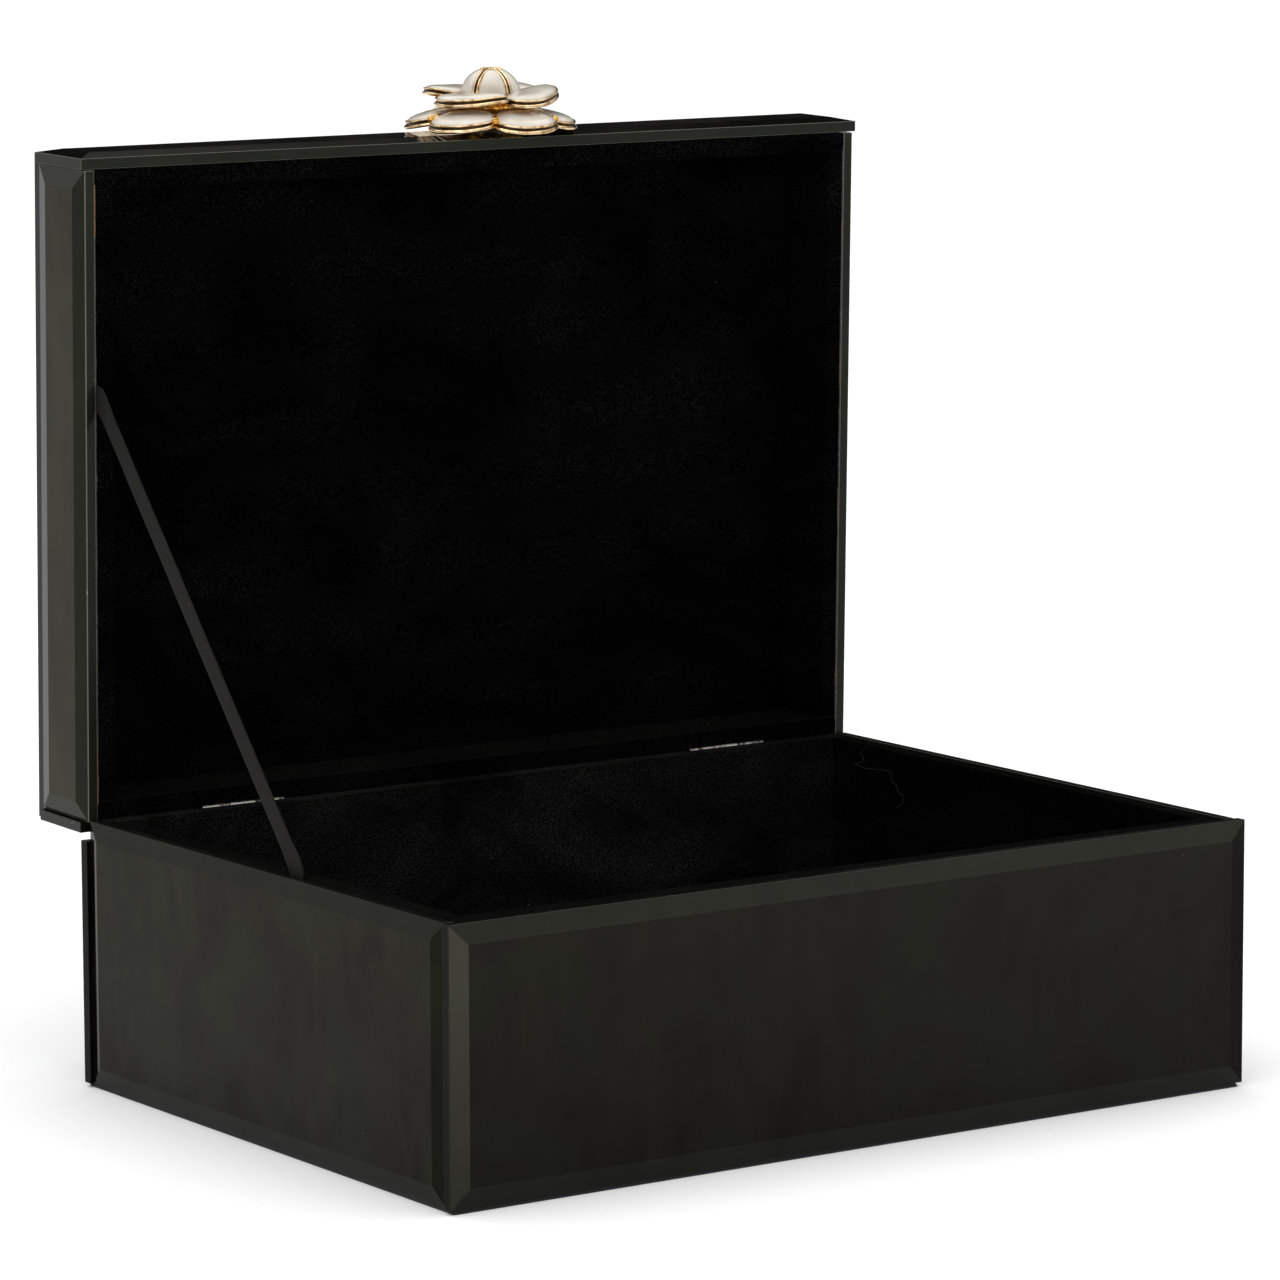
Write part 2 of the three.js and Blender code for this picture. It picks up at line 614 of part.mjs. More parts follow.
// A ring-shaped sheet of petals between two shares of the reach, as a closed polar grid.
function petalSheet(layer, from, to, lift, thickness, steps) {
  const around = 24 * layer.count / 2;
  const hole = STUD_RADIUS + STUD_PLAY;
  const points = [];
  const shares = Array.from({ length: steps + 1 }, (_, step) => from + (to - from) * step / steps);
  const upper = shares.map((share) => [share, lift]);
  const under = shares.map((share) => [share, lift - thickness]).reverse();
  const rings = [...upper, ...under];
  for (const [share, offset] of rings) {
    for (let turn = 0; turn < around; turn += 1) {
      const angle = 2 * Math.PI * turn / around;
      const radius = hole + (petalReach(layer, angle) - hole) * share;
      const height = petalHeight(layer, share, angle) + offset;
      points.push(radius * Math.cos(angle), radius * Math.sin(angle), height);
    }
  }
  const faces = [];
  for (let ring = 0; ring < rings.length; ring += 1) {
    const next = (ring + 1) % rings.length;
    for (let turn = 0; turn < around; turn += 1) {
      const beside = (turn + 1) % around;
      const a = ring * around + turn;
      const b = ring * around + beside;
      const c = next * around + beside;
      const d = next * around + turn;
      faces.push(a, d, b, b, d, c);
    }
  }
  const geometry = new THREE.BufferGeometry();
  geometry.setAttribute('position', new THREE.Float32BufferAttribute(points, 3));
  geometry.setIndex(faces);
  geometry.computeVertexNormals();
  return geometry;
}

// Stands a knob piece, built along +Z from the glass, on the lid's front wall.
function onFrontWall(geometry) {
  geometry.rotateX(Math.PI / 2);
  geometry.translate(KNOB_X, -HALF_DEPTH, KNOB_Z);
  return geometry;
}

// A turned ring round the stud between two heights, waisted in the middle.
function turnedRing(radius, low, high) {
  const hole = STUD_RADIUS + STUD_PLAY;
  const profile = [
    new THREE.Vector2(hole, low),
    new THREE.Vector2(radius, low),
    new THREE.Vector2(radius * 0.8, (low + high) / 2),
    new THREE.Vector2(radius * 0.9, high),
    new THREE.Vector2(hole, high),
    new THREE.Vector2(hole, low),
  ];
  return new THREE.LatheGeometry(profile, 32).rotateX(Math.PI / 2);
}

// The dome-shaped bud, with a blind bore for the stud.
function knobBud(base) {
  const hole = STUD_RADIUS + STUD_PLAY;
  const profile = [
    new THREE.Vector2(0, base + BUD_BORE_DEPTH),
    new THREE.Vector2(hole, base + BUD_BORE_DEPTH),
    new THREE.Vector2(hole, base),
  ];
  const steps = 10;
  const underAngle = THREE.MathUtils.degToRad(-30);
  for (let step = 0; step <= steps; step += 1) {
    const angle = underAngle + (Math.PI / 2 - underAngle) * step / steps;
    const radius = step === steps ? 0 : BUD_RADIUS * Math.cos(angle);
    const rise = (Math.sin(angle) - Math.sin(underAngle)) / (1 - Math.sin(underAngle));
    profile.push(new THREE.Vector2(radius, base + BUD_HEIGHT * rise));
  }
  return new THREE.LatheGeometry(profile, 40).rotateX(Math.PI / 2);
}

function knobPieces() {
  const lowerTop = LOWER_PETALS.hub + PETAL_THICKNESS + GLUE;
  const budBase = UPPER_PETALS.hub + PETAL_THICKNESS + GLUE;
  const pocketFace = NUT_POCKET - CLADDING - BOARD;
  const washerMiddle = pocketFace - NUT_GAP - WASHER / 2;
  const nutFace = pocketFace - 2 * NUT_GAP - WASHER;
  const studLow = nutFace - NUT_HEIGHT - STUD_PAST_NUT;
  const studHigh = budBase + BUD_BORE_DEPTH - GLUE;
  const stud = rod(STUD_RADIUS, studHigh - studLow, 'z', [0, 0, (studHigh + studLow) / 2]);
  const hole = rod(STUD_RADIUS + STUD_PLAY, 8 * WALL, 'z', [0, 0, 0]);
  const washer = cut(rod(WASHER_RADIUS, WASHER, 'z', [0, 0, washerMiddle], 32), hole);
  const nut = cut(rod(NUT_ACROSS_CORNERS / 2, NUT_HEIGHT, 'z', [0, 0, nutFace - NUT_HEIGHT / 2], 6), hole);
  const lower = petalSheet(LOWER_PETALS, 0, 1, 0, PETAL_THICKNESS, 7);
  const upper = petalSheet(UPPER_PETALS, 0, 1, 0, PETAL_THICKNESS, 7);
  const lift = ENAMEL_LIFT + ENAMEL;
  const lowerEnamel = petalSheet(LOWER_PETALS, LOWER_PETALS.bare, ENAMEL_END, lift, ENAMEL, 5);
  const upperEnamel = petalSheet(UPPER_PETALS, UPPER_PETALS.bare, ENAMEL_END, lift, ENAMEL, 5);
  const collar = turnedRing(KNOB_COLLAR_RADIUS, GLUE, LOWER_PETALS.hub - GLUE);
  const spacer = turnedRing(SPACER_RADIUS, lowerTop, UPPER_PETALS.hub - GLUE);
  return [
    piece('knob_collar', 'gold', onFrontWall(collar)),
    piece('knob_lower_petals', 'gold', onFrontWall(lower)),
    piece('knob_lower_enamel', 'enamel', onFrontWall(lowerEnamel)),
    piece('knob_spacer', 'gold', onFrontWall(spacer)),
    piece('knob_upper_petals', 'gold', onFrontWall(upper)),
    piece('knob_upper_enamel', 'enamel', onFrontWall(upperEnamel)),
    piece('knob_bud', 'gold', onFrontWall(knobBud(budBase))),
    piece('knob_stud', 'nickel', onFrontWall(stud)),
    piece('knob_washer', 'nickel', onFrontWall(washer)),
    piece('knob_nut', 'nickel', onFrontWall(nut)),
  ];
}

// ---- assembly ----

const trinketBox = new THREE.Group();
trinketBox.add(baseFelt(), ...baseBoards(), ...baseGlass(), ...baseLining());
trinketBox.add(...hingePieces(BASE_HEIGHT, 1, 'base'));
trinketBox.add(ribbonStay());

const lid = new THREE.Group();
lid.position.set(0, -PIN_Y, -PIN_Z);
lid.add(...lidBoards(), ...lidGlass(), ...lidLining());
lid.add(...hingePieces(LID_RIM, -1, 'lid'));
lid.add(...knobPieces());

const lidSwing = new THREE.Group();
lidSwing.position.set(0, PIN_Y, PIN_Z);
lidSwing.rotation.x = THREE.MathUtils.degToRad(-LID_OPEN_DEG);
lidSwing.add(lid);
trinketBox.add(lidSwing);

export default trinketBox;
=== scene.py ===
import json
import math
import random

import bmesh
import bpy
from mathutils import Matrix, Vector, noise


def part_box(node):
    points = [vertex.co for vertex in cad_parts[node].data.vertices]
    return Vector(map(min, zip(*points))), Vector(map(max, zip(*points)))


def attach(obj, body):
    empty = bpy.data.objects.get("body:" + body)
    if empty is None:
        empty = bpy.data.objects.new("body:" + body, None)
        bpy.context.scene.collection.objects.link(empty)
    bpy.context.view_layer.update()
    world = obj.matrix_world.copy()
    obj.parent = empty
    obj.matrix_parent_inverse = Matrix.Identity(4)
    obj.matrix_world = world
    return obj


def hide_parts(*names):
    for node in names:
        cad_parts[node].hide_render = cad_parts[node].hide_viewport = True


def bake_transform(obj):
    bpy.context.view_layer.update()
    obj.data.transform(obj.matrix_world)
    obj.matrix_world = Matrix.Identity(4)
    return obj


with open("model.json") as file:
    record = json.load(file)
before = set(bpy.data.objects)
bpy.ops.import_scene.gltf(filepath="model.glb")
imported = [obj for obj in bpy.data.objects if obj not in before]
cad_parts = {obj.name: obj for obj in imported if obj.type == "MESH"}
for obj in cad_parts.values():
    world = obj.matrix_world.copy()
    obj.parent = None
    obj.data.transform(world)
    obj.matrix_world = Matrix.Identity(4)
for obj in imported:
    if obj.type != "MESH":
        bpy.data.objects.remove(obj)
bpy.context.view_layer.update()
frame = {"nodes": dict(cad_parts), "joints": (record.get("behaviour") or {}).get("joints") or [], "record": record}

MM = 0.001
NODES = frame["nodes"]
HINGE = frame["joints"][0]
PIN = Vector(HINGE["pos_m"])
LID_OPEN = math.radians(HINGE["range_deg"][1])

# Camera
CAMERA_AZIMUTH = math.radians(-34.65)
CAMERA_ELEVATION = math.radians(8.46)
CAMERA_ROLL = math.radians(-0.18)
CAMERA_DISTANCE = 1.6584
CAMERA_TARGET = Vector((-0.00556, 0.00201, 0.12187))
CAMERA_LENS_MM = 174.97

# Glass: how far its edges are chamfered, how nearly a face or bevel faces out, how far an end bevel
# tilts sideways, and the least areas of a broad part and, as a share of the largest, of the face
ARRIS = 0.2 * MM
FACE_DOT = 0.9995
BEVEL_DOT = 0.94
END_TILT = 0.1
BROAD_AREA = 60 * MM * MM
FACE_SHARE = 0.3
FACE, BEVEL, EDGE, CHAMFER, LIT_END_BEVEL, SHADED_FAR_BEVEL = range(6)

# Edges sharper than this are rounded; the shallow line between face and bevel stays crisp
SHARP_ANGLE = math.radians(28)
FLAT_ANGLE = math.radians(1)
WELD = 0.002 * MM

# Velvet
FOLD_RADIUS = 0.42 * MM

# Flower knob: the turns of its petals and ribs in degrees
LOWER_PETAL_ANGLES = [30.4 + 60 * k for k in range(6)]
UPPER_PETAL_ANGLES = [32.4 + 90 * k for k in range(4)]
BUD_RIB_STEP = 72
BUD_RIBS = [-156 + BUD_RIB_STEP * k for k in range(5)]


# ---- Materials

def feed(node, name, output):
    """Drives one of a node's sockets from an output."""
    node.id_data.links.new(output, node.inputs[name])


def set_inputs(node, values):
    """Sets a node's own sockets, by name."""
    for name, value in values.items():
        node.inputs[name].default_value = value


def new_material(name):
    """A material with a Principled shader; returns it, its tree, the shader and coordinates."""
    material = bpy.data.materials.new(name)
    material.use_nodes = True
    tree = material.node_tree
    tree.nodes.clear()
    out = tree.nodes.new("ShaderNodeOutputMaterial")
    shader = tree.nodes.new("ShaderNodeBsdfPrincipled")
    feed(out, "Surface", shader.outputs["BSDF"])
    return material, tree, shader, object_coordinates(tree)


def object_coordinates(tree, scale=(1, 1, 1)):
    """Coordinates in metres that stay with the piece, stretched by scale."""
    source = tree.nodes.new("ShaderNodeTexCoord")
    mapping = tree.nodes.new("ShaderNodeMapping")
    mapping.inputs["Scale"].default_value = scale
    feed(mapping, "Vector", source.outputs["Object"])
    return mapping.outputs["Vector"]


def noise_value(tree, vector, scale, detail=4.0, roughness=0.55, distortion=0.0):
    """Fractal noise, from 0 to 1, over a coordinate."""
    node = tree.nodes.new("ShaderNodeTexNoise")
    set_inputs(node, {
        "Scale": scale, "Detail": detail, "Roughness": roughness, "Distortion": distortion,
    })
    feed(node, "Vector", vector)
    return node.outputs["Fac"]


def cell_distance(tree, vector, scale):
    """The distance to the nearest of many scattered points."""
    node = tree.nodes.new("ShaderNodeTexVoronoi")
    node.inputs["Scale"].default_value = scale
    feed(node, "Vector", vector)
    return node.outputs["Distance"]


def ramp(tree, value, stops):
    """A colour ramp; stops are (position, colour) with colour a number or an RGB triple."""
    node = tree.nodes.new("ShaderNodeValToRGB")
    elements = node.color_ramp.elements
    while len(elements) < len(stops):
        elements.new(0.5)
    for element, (position, colour) in zip(elements, stops):
        triple = (colour,) * 3 if isinstance(colour, (int, float)) else colour
        element.position = position
        element.color = (*triple, 1)
    feed(node, "Fac", value)
    return node.outputs["Color"]


def blend_colours(tree, factor, first, second, mode="MIX"):
    """Mixes two colours by a number or a socket."""
    node = tree.nodes.new("ShaderNodeMix")
    node.data_type = "RGBA"
    node.blend_type = mode
    if isinstance(factor, (int, float)):
        node.inputs["Factor"].default_value = factor
    else:
        feed(node, "Factor", factor)
    for socket, colour in ((node.inputs[6], first), (node.inputs[7], second)):
        if isinstance(colour, tuple):
            socket.default_value = (*colour, 1)
        else:
            tree.links.new(colour, socket)
    return node.outputs[2]


def add_bump(tree, shader, height, strength, distance):
    """Gives a shader fine relief from a height."""
    node = tree.nodes.new("ShaderNodeBump")
    set_inputs(node, {"Strength": strength, "Distance": distance})
    feed(node, "Height", height)
    feed(shader, "Normal", node.outputs["Normal"])


def rare_specks(tree, vector, per_metre, radii, colour, thinning):
    """Small pale dots, kept only where a wide noise is high; thinning is (scale, low, high)."""
    distance = cell_distance(tree, vector, per_metre)
    dots = ramp(tree, distance, [(radii[0], colour), (radii[1], 0.0)])
    scale, low, high = thinning
    kept = ramp(tree, noise_value(tree, vector, scale, 2, 0.5), [(low, 0.0), (high, 1.0)])
    return blend_colours(tree, 1.0, dots, kept, "MULTIPLY")


def glass_material(name, ior, level, warm, green, film_lift=1.0, rough=(0.03, 0.08)):
    """Back-painted black glass: a clear skin with faint smears left by wiping; its reflections are darkened
    towards its foot, painted shade.
    """
    material, tree, shader, vector = new_material(name)
    clouds = noise_value(tree, vector, 26, 5, 0.6, 0.6)
    wipes = noise_value(tree, object_coordinates(tree, (1, 1, 0.3)), 95, 5, 0.65, 1.2)
    smear = blend_colours(tree, 0.4, clouds, wipes)
    # The smear film is brightened by a factor; on the side panels' copies this is painted light.
    thick = (0.0046 * film_lift, 0.0043 * film_lift, 0.0028 * film_lift)
    film = ramp(tree, smear, [(0.38, (0.0009, 0.0009, 0.0006)), (0.6, thick)])
    dust = rare_specks(tree, vector, 95, (0.016, 0.03), 0.07, (60, 0.6, 0.64))
    feed(shader, "Base Color", blend_colours(tree, 1.0, film, dust, "ADD"))
    feed(shader, "Roughness", ramp(tree, smear, [(0.3, rough[0]), (0.62, rough[1])]))
    set_inputs(shader, {"IOR": ior, "Specular IOR Level": level})
    tint = ramp(tree, clouds, [(0.4, warm), (0.6, green)])
    parts = tree.nodes.new("ShaderNodeSeparateXYZ")
    feed(parts, "Vector", vector)
    # Painted shade: the reflection tint is darkened towards the bottom of each panel.
    foot = ramp(tree, parts.outputs["Z"], [(0.012, 0.58), (0.066, 1.0)])
    feed(shader, "Specular Tint", blend_colours(tree, 1.0, tint, foot, "MULTIPLY"))
    waves = noise_value(tree, vector, 14, 2, 0.4)
    add_bump(tree, shader, waves, 0.04, 0.0005)
    return material


def glass_edge_material(name, share, level):
    """The ground edge of a glass panel: an even olive grey with fine grinding marks."""
    material, tree, shader, vector = new_material(name)
    grind = noise_value(tree, vector, 1400, 3, 0.6)
    patches = noise_value(tree, vector, 45, 4, 0.55)
    dark = tuple(share * part for part in (0.0105, 0.0112, 0.0078))
    light = tuple(share * part for part in (0.0175, 0.0185, 0.0135))
    tint = ramp(tree, patches, [(0.3, dark), (0.7, light)])
    # Darker in patches by noise.
    dark_patches = ramp(tree, noise_value(tree, vector, 13, 3, 0.5), [(0.27, 0.12), (0.31, 1.0)])
    feed(shader, "Base Color", blend_colours(tree, 1.0, tint, dark_patches, "MULTIPLY"))
    feed(shader, "Roughness", ramp(tree, grind, [(0.3, 0.16), (0.7, 0.22)]))
    set_inputs(shader, {"Specular IOR Level": level, "Specular Tint": (0.93, 1.0, 0.8, 1)})
    add_bump(tree, shader, grind, 0.03, 0.00003)
    return material


def glass_arris_material(name, dark, chip):
    """The narrow chamfer along a glass edge, with a few bright chips; its main tone, when pale, is a painted
    highlight line.
    """
    material, tree, shader, vector = new_material(name)
    chips = noise_value(tree, vector, 330, 4, 0.75)
    low = (dark, 1.03 * dark, 0.8 * dark)
    high = (chip, 1.03 * chip, 0.85 * chip)
    feed(shader, "Base Color", ramp(tree, chips, [(0.66, low), (0.72, high)]))
    feed(shader, "Roughness", ramp(tree, chips, [(0.3, 0.2), (0.7, 0.4)]))
    shader.inputs["Specular IOR Level"].default_value = 0.15
    add_bump(tree, shader, chips, 0.2, 0.00006)
    return material


def velvet_material(name, share, low=0.5, high=0.68):
    """Black flocked velvet: short upright nap, brushed patches, and a few pale specks of lint."""
    material, tree, shader, vector = new_material(name)
    nap = noise_value(tree, vector, 2300, 4, 0.75)
    brushed = noise_value(tree, object_coordinates(tree, (1, 0.6, 1.7)), 15, 5, 0.6, 1.2)
    tip = share * 0.0105
    fuzz = ramp(tree, nap, [(low, (0.0003, 0.0003, 0.0003)), (high, (tip, tip, 0.97 * tip))])
    shade = ramp(tree, brushed, [(0.38, 0.3), (0.68, 1.6)])
    pile = blend_colours(tree, 1.0, fuzz, shade, "MULTIPLY")
    lint = rare_specks(tree, vector, 105, (0.012, 0.028), (0.075, 0.075, 0.07), (55, 0.56, 0.62))
    feed(shader, "Base Color", blend_colours(tree, 1.0, pile, lint, "ADD"))
    set_inputs(shader, {"Roughness": 1.0, "Specular IOR Level": 0.0})
    feed(shader, "Sheen Weight", ramp(tree, nap, [(0.4, 0.0), (0.68, 0.02)]))
    set_inputs(shader, {"Sheen Roughness": 0.5, "Sheen Tint": (1.0, 0.98, 0.94, 1)})
    height = blend_colours(tree, 0.35, nap, brushed)
    add_bump(tree, shader, height, 0.9, 0.0004)
    return material


def felt_material():
    """Black felt with matted fibres."""
    material, tree, shader, vector = new_material("black_felt")
    fibres = noise_value(tree, object_coordinates(tree, (1, 2.2, 1)), 1300, 5, 0.75, 2.0)
    tint = ramp(tree, fibres, [(0.3, (0.006, 0.006, 0.006)), (0.72, (0.03, 0.03, 0.032))])
    feed(shader, "Base Color", tint)
    set_inputs(shader, {"Roughness": 1.0, "Specular IOR Level": 0.1, "Sheen Weight": 0.15})
    height = blend_colours(tree, 0.4, fibres, noise_value(tree, vector, 160, 3))
    add_bump(tree, shader, height, 0.6, 0.0004)
    return material


def board_material():
    """Fine fibreboard, stained black, with its warm brown showing where the stain is thin."""
    material, tree, shader, vector = new_material("stained_fibreboard")
    fibres = noise_value(tree, vector, 1500, 5, 0.75, 1.4)
    stains = noise_value(tree, vector, 90, 4, 0.6)
    tint = ramp(tree, fibres, [(0.3, (0.010, 0.006, 0.003)), (0.8, (0.035, 0.02, 0.01))])
    dirt = ramp(tree, stains, [(0.35, 0.35), (0.65, 1.0)])
    feed(shader, "Base Color", blend_colours(tree, 1.0, tint, dirt, "MULTIPLY"))
    shader.inputs["Roughness"].default_value = 0.85
    add_bump(tree, shader, fibres, 0.5, 0.0002)
    return material


def raw_board_material(name, low, high):
    """The raw edge of the fibreboard at the rims: orange brown, grey with dust in places."""
    material, tree, shader, vector = new_material(name)
    fibres = noise_value(tree, vector, 1500, 5, 0.75, 1.4)
    stretches = noise_value(tree, vector, 21, 3, 0.6)
    brown = ramp(tree, fibres, [(0.3, (0.06, 0.024, 0.007)), (0.75, (0.30, 0.13, 0.04))])
    dusty = ramp(tree, fibres, [(0.45, (0.006, 0.005, 0.004)), (0.7, (0.11, 0.105, 0.09))])
    where = ramp(tree, stretches, [(low, 1.0), (high, 0.0)])
    feed(shader, "Base Color", blend_colours(tree, where, dusty, brown))
    shader.inputs["Roughness"].default_value = 0.85
    add_bump(tree, shader, fibres, 0.5, 0.0002)
    return material


def nickel_material(name, rough_low, rough_high, colour):
    """Plated metal, bright in some noise patches and dull grey in others."""
    material, tree, shader, vector = new_material(name)
    patch_noise = noise_value(tree, vector, 260, 4, 0.7)
    dull = tuple(0.16 * part for part in colour)
    feed(shader, "Base Color", ramp(tree, patch_noise, [(0.42, dull), (0.52, colour)]))
    feed(shader, "Roughness", ramp(tree, patch_noise, [(0.35, rough_high), (0.7, rough_low)]))
    shader.inputs["Metallic"].default_value = 1.0
    add_bump(tree, shader, noise_value(tree, vector, 1100, 3), 0.15, 0.00008)
    return material


def gold_material():
    """Polished pale gold on the petal rims, with brown patches that are painted dark reflections."""
    material, tree, shader, vector = new_material("polished_gold")
    patch_noise = noise_value(tree, vector, 330, 4, 0.6)
    brown, yellow, pale = (0.30, 0.17, 0.07), (0.74, 0.53, 0.30), (0.88, 0.70, 0.46)
    # The brown stop paints dark reflections in patches.
    tint = ramp(tree, patch_noise, [(0.36, brown), (0.52, yellow), (0.7, pale)])
    feed(shader, "Base Color", tint)
    feed(shader, "Roughness", ramp(tree, patch_noise, [(0.3, 0.24), (0.7, 0.12)]))
    shader.inputs["Metallic"].default_value = 1.0
    add_bump(tree, shader, noise_value(tree, vector, 700, 3), 0.25, 0.00015)
    return material


def groove_shade_material():
    """The dark brown line in the groove of each rim and between the bud's rib pairs: painted shade."""
    material, tree, shader, vector = new_material("gold_groove_painted_shade")
    patch_noise = noise_value(tree, vector, 500, 4, 0.6)
    tint = ramp(tree, patch_noise, [(0.4, (0.012, 0.007, 0.003)), (0.75, (0.09, 0.045, 0.015))])
    feed(shader, "Base Color", tint)
    set_inputs(shader, {"Roughness": 0.35, "Metallic": 0.8})
    add_bump(tree, shader, patch_noise, 0.3, 0.0001)
    return material


def nugget_material():
    """Deep yellow textured gold in the hollows between the petals."""
    material, tree, shader, vector = new_material("textured_gold")
    cells = cell_distance(tree, vector, 1150)
    grain = noise_value(tree, vector, 1500, 3, 0.6)
    tint = ramp(tree, grain, [(0.3, (0.45, 0.17, 0.015)), (0.62, (1.0, 0.60, 0.13))])
    feed(shader, "Base Color", tint)
    set_inputs(shader, {"Roughness": 0.3, "Metallic": 1.0})
    add_bump(tree, shader, cells, 0.9, 0.0004)
    return material


def enamel_material():
    """Glossy cream enamel, pooled a little darker in patches."""
    material, tree, shader, vector = new_material("cream_enamel")
    pools = noise_value(tree, vector, 150, 4, 0.55)
    tint = ramp(tree, pools, [(0.3, (0.50, 0.445, 0.37)), (0.7, (0.63, 0.585, 0.515))])
    feed(shader, "Base Color", tint)
    feed(shader, "Roughness", ramp(tree, pools, [(0.3, 0.17), (0.7, 0.09)]))
    set_inputs(shader, {"Coat Weight": 0.3, "Coat Roughness": 0.04})
    add_bump(tree, shader, noise_value(tree, vector, 260, 2), 0.08, 0.0003)
    return material


def ribbon_material():
    """Dark woven ribbon with fine cross ribs."""
    material, tree, shader, vector = new_material("woven_ribbon")
    source = tree.nodes.new("ShaderNodeUVMap")
    source.uv_map = "weave"
    wave = tree.nodes.new("ShaderNodeTexWave")
    wave.wave_type = "BANDS"
    wave.bands_direction = "Y"
    set_inputs(wave, {"Scale": 1.0, "Distortion": 0.35, "Detail": 1.0})
    feed(wave, "Vector", source.outputs["UV"])
    fuzz = noise_value(tree, vector, 2600, 4, 0.7)
    threads = blend_colours(tree, 0.55, wave.outputs["Color"], fuzz)
    tint = ramp(tree, threads, [(0.3, (0.003, 0.003, 0.0023)), (0.7, (0.021, 0.0205, 0.016))])
    feed(shader, "Base Color", tint)
    set_inputs(shader, {
        "Roughness": 0.75, "Specular IOR Level": 0.07, "Sheen Weight": 0.02, "Sheen Roughness": 0.35,
    })
    add_bump(tree, shader, threads, 0.6, 0.0002)
    return material


def lint_material():
    """Grey fluff."""
    material, tree, shader, vector = new_material("lint_thread")
    fuzz = noise_value(tree, vector, 3000, 3, 0.7)
    tint = ramp(tree, fuzz, [(0.3, (0.006, 0.006, 0.0055)), (0.7, (0.028, 0.028, 0.026))])
    feed(shader, "Base Color", tint)
    shader.inputs["Roughness"].default_value = 0.9
    return material


WARM, GREEN = (1.0, 0.90, 0.72), (0.92, 0.95, 0.74)
OLIVE_BROWN, OLIVE_GREEN = (1.0, 0.86, 0.2), (0.78, 0.95, 0.26)
GLASS_FACE = glass_material("black_glass_face", 1.5, 0.135, WARM, GREEN)
GLASS_BEVEL = glass_material("black_glass_bevel", 1.5, 0.22, GREEN, GREEN)
# The front panel's left end bevel gets a stronger reflection, painted light, and its right end bevel a weaker one,
# painted shade.
GLASS_LIT_END_BEVEL = glass_material("black_glass_end_bevel_painted_light", 1.5, 0.5, WARM, GREEN)
GLASS_SHADED_FAR_BEVEL = glass_material("black_glass_far_bevel_painted_shade", 1.5, 0.04, WARM, GREEN)
# The side panels' copies of the glass get their own reflection strength and a brighter film, so each side reads as
# lit: lit copies of one glass, painted light.
BASE_SIDE_FACE = glass_material("black_glass_base_side", 1.15, 0.52, OLIVE_BROWN, OLIVE_GREEN, 2.2)
BASE_SIDE_BEVEL = glass_material("black_glass_base_side_bevel", 1.3, 0.18, GREEN, OLIVE_GREEN)
LID_SIDE_FACE = glass_material("black_glass_lid_side", 1.2, 0.56, OLIVE_BROWN, OLIVE_GREEN, 3.0)
LID_SIDE_BEVEL = glass_material("black_glass_lid_side_bevel", 1.2, 0.6, GREEN, OLIVE_GREEN)
GLASS_EDGE = glass_edge_material("glass_ground_edge", 0.7, 0.11)
# A pale arris tone: a painted highlight line along the lid's glass edges.
GLASS_ARRIS_HIGHLIGHT = glass_arris_material("glass_arris_painted_highlight", 0.11, 0.6)
# Darker copies of the edge and arris finishes for the base panels and the lid's rear panel: painted shade.
SHADED_EDGE = glass_edge_material("glass_edge_painted_shade", 0.4, 0.03)
SHADED_ARRIS = glass_arris_material("glass_arris_painted_shade", 0.007, 0.22)
VELVET = velvet_material("black_velvet", 1.0)
# A brighter copy of the velvet for the base's rear wall and its hinge flaps: painted light.
LIT_VELVET = velvet_material("black_velvet_painted_light", 2.5, 0.44, 0.72)
FELT = felt_material()
BOARD = board_material()
RAW_BOARD = raw_board_material("raw_fibreboard_edge", 0.26, 0.4)
CLEAN_BOARD = raw_board_material("clean_fibreboard_edge", 0.9, 1.0)
NICKEL = nickel_material("bright_nickel", 0.15, 0.3, (0.22, 0.21, 0.19))
STEEL = nickel_material("plated_steel", 0.25, 0.45, (0.62, 0.61, 0.59))
GOLD = gold_material()
GROOVE_SHADE = groove_shade_material()
NUGGET = nugget_material()
ENAMEL = enamel_material()
RIBBON = ribbon_material()
LINT = lint_material()


# ---- Mesh helpers

def add_object(name, data):
    """A new object, linked to the scene."""
    made = bpy.data.objects.new(name, data)
    bpy.context.scene.collection.objects.link(made)
    return made


def add_piece(name, mesh, materials, body, replaced=()):
    """Links a mesh as a piece that rides on a body, unless body is None."""
    piece = add_object(name, mesh)
    mesh.materials.clear()
    for material in materials:
        mesh.materials.append(material)
    if body:
        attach(piece, body)
    if replaced:
        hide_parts(*replaced)
    return piece


def mesh_from(name, vertices, faces, smooth=True):
    """A mesh whose faces all point outwards."""
    mesh = bpy.data.meshes.new(name)
    mesh.from_pydata([tuple(v) for v in vertices], [], faces)
    mesh.validate()
    work = bmesh.new()
    work.from_mesh(mesh)
    bmesh.ops.recalc_face_normals(work, faces=work.faces)
    work.to_mesh(mesh)
    work.free()
    mesh.polygons.foreach_set("use_smooth", [smooth] * len(mesh.polygons))
    return mesh


def polar(radius, turn, z):
    """The point at a distance and a turn from the Z axis."""
    return Vector((radius * math.cos(turn), radius * math.sin(turn), z))


def ring_faces(rings, around):
    """The faces between rings that have the same number of points."""
    faces = []
    for ring in range(rings - 1):
        for step in range(around):
            a, b = ring * around + step, ring * around + (step + 1) % around
            faces.append((a, b, b + around, a + around))
    return faces


def body_of_node(node):
    """The body that carries a CAD node."""
    bodies = frame["record"]["behaviour"]["bodies"]
    return next(body for body, members in bodies.items() if node in members)


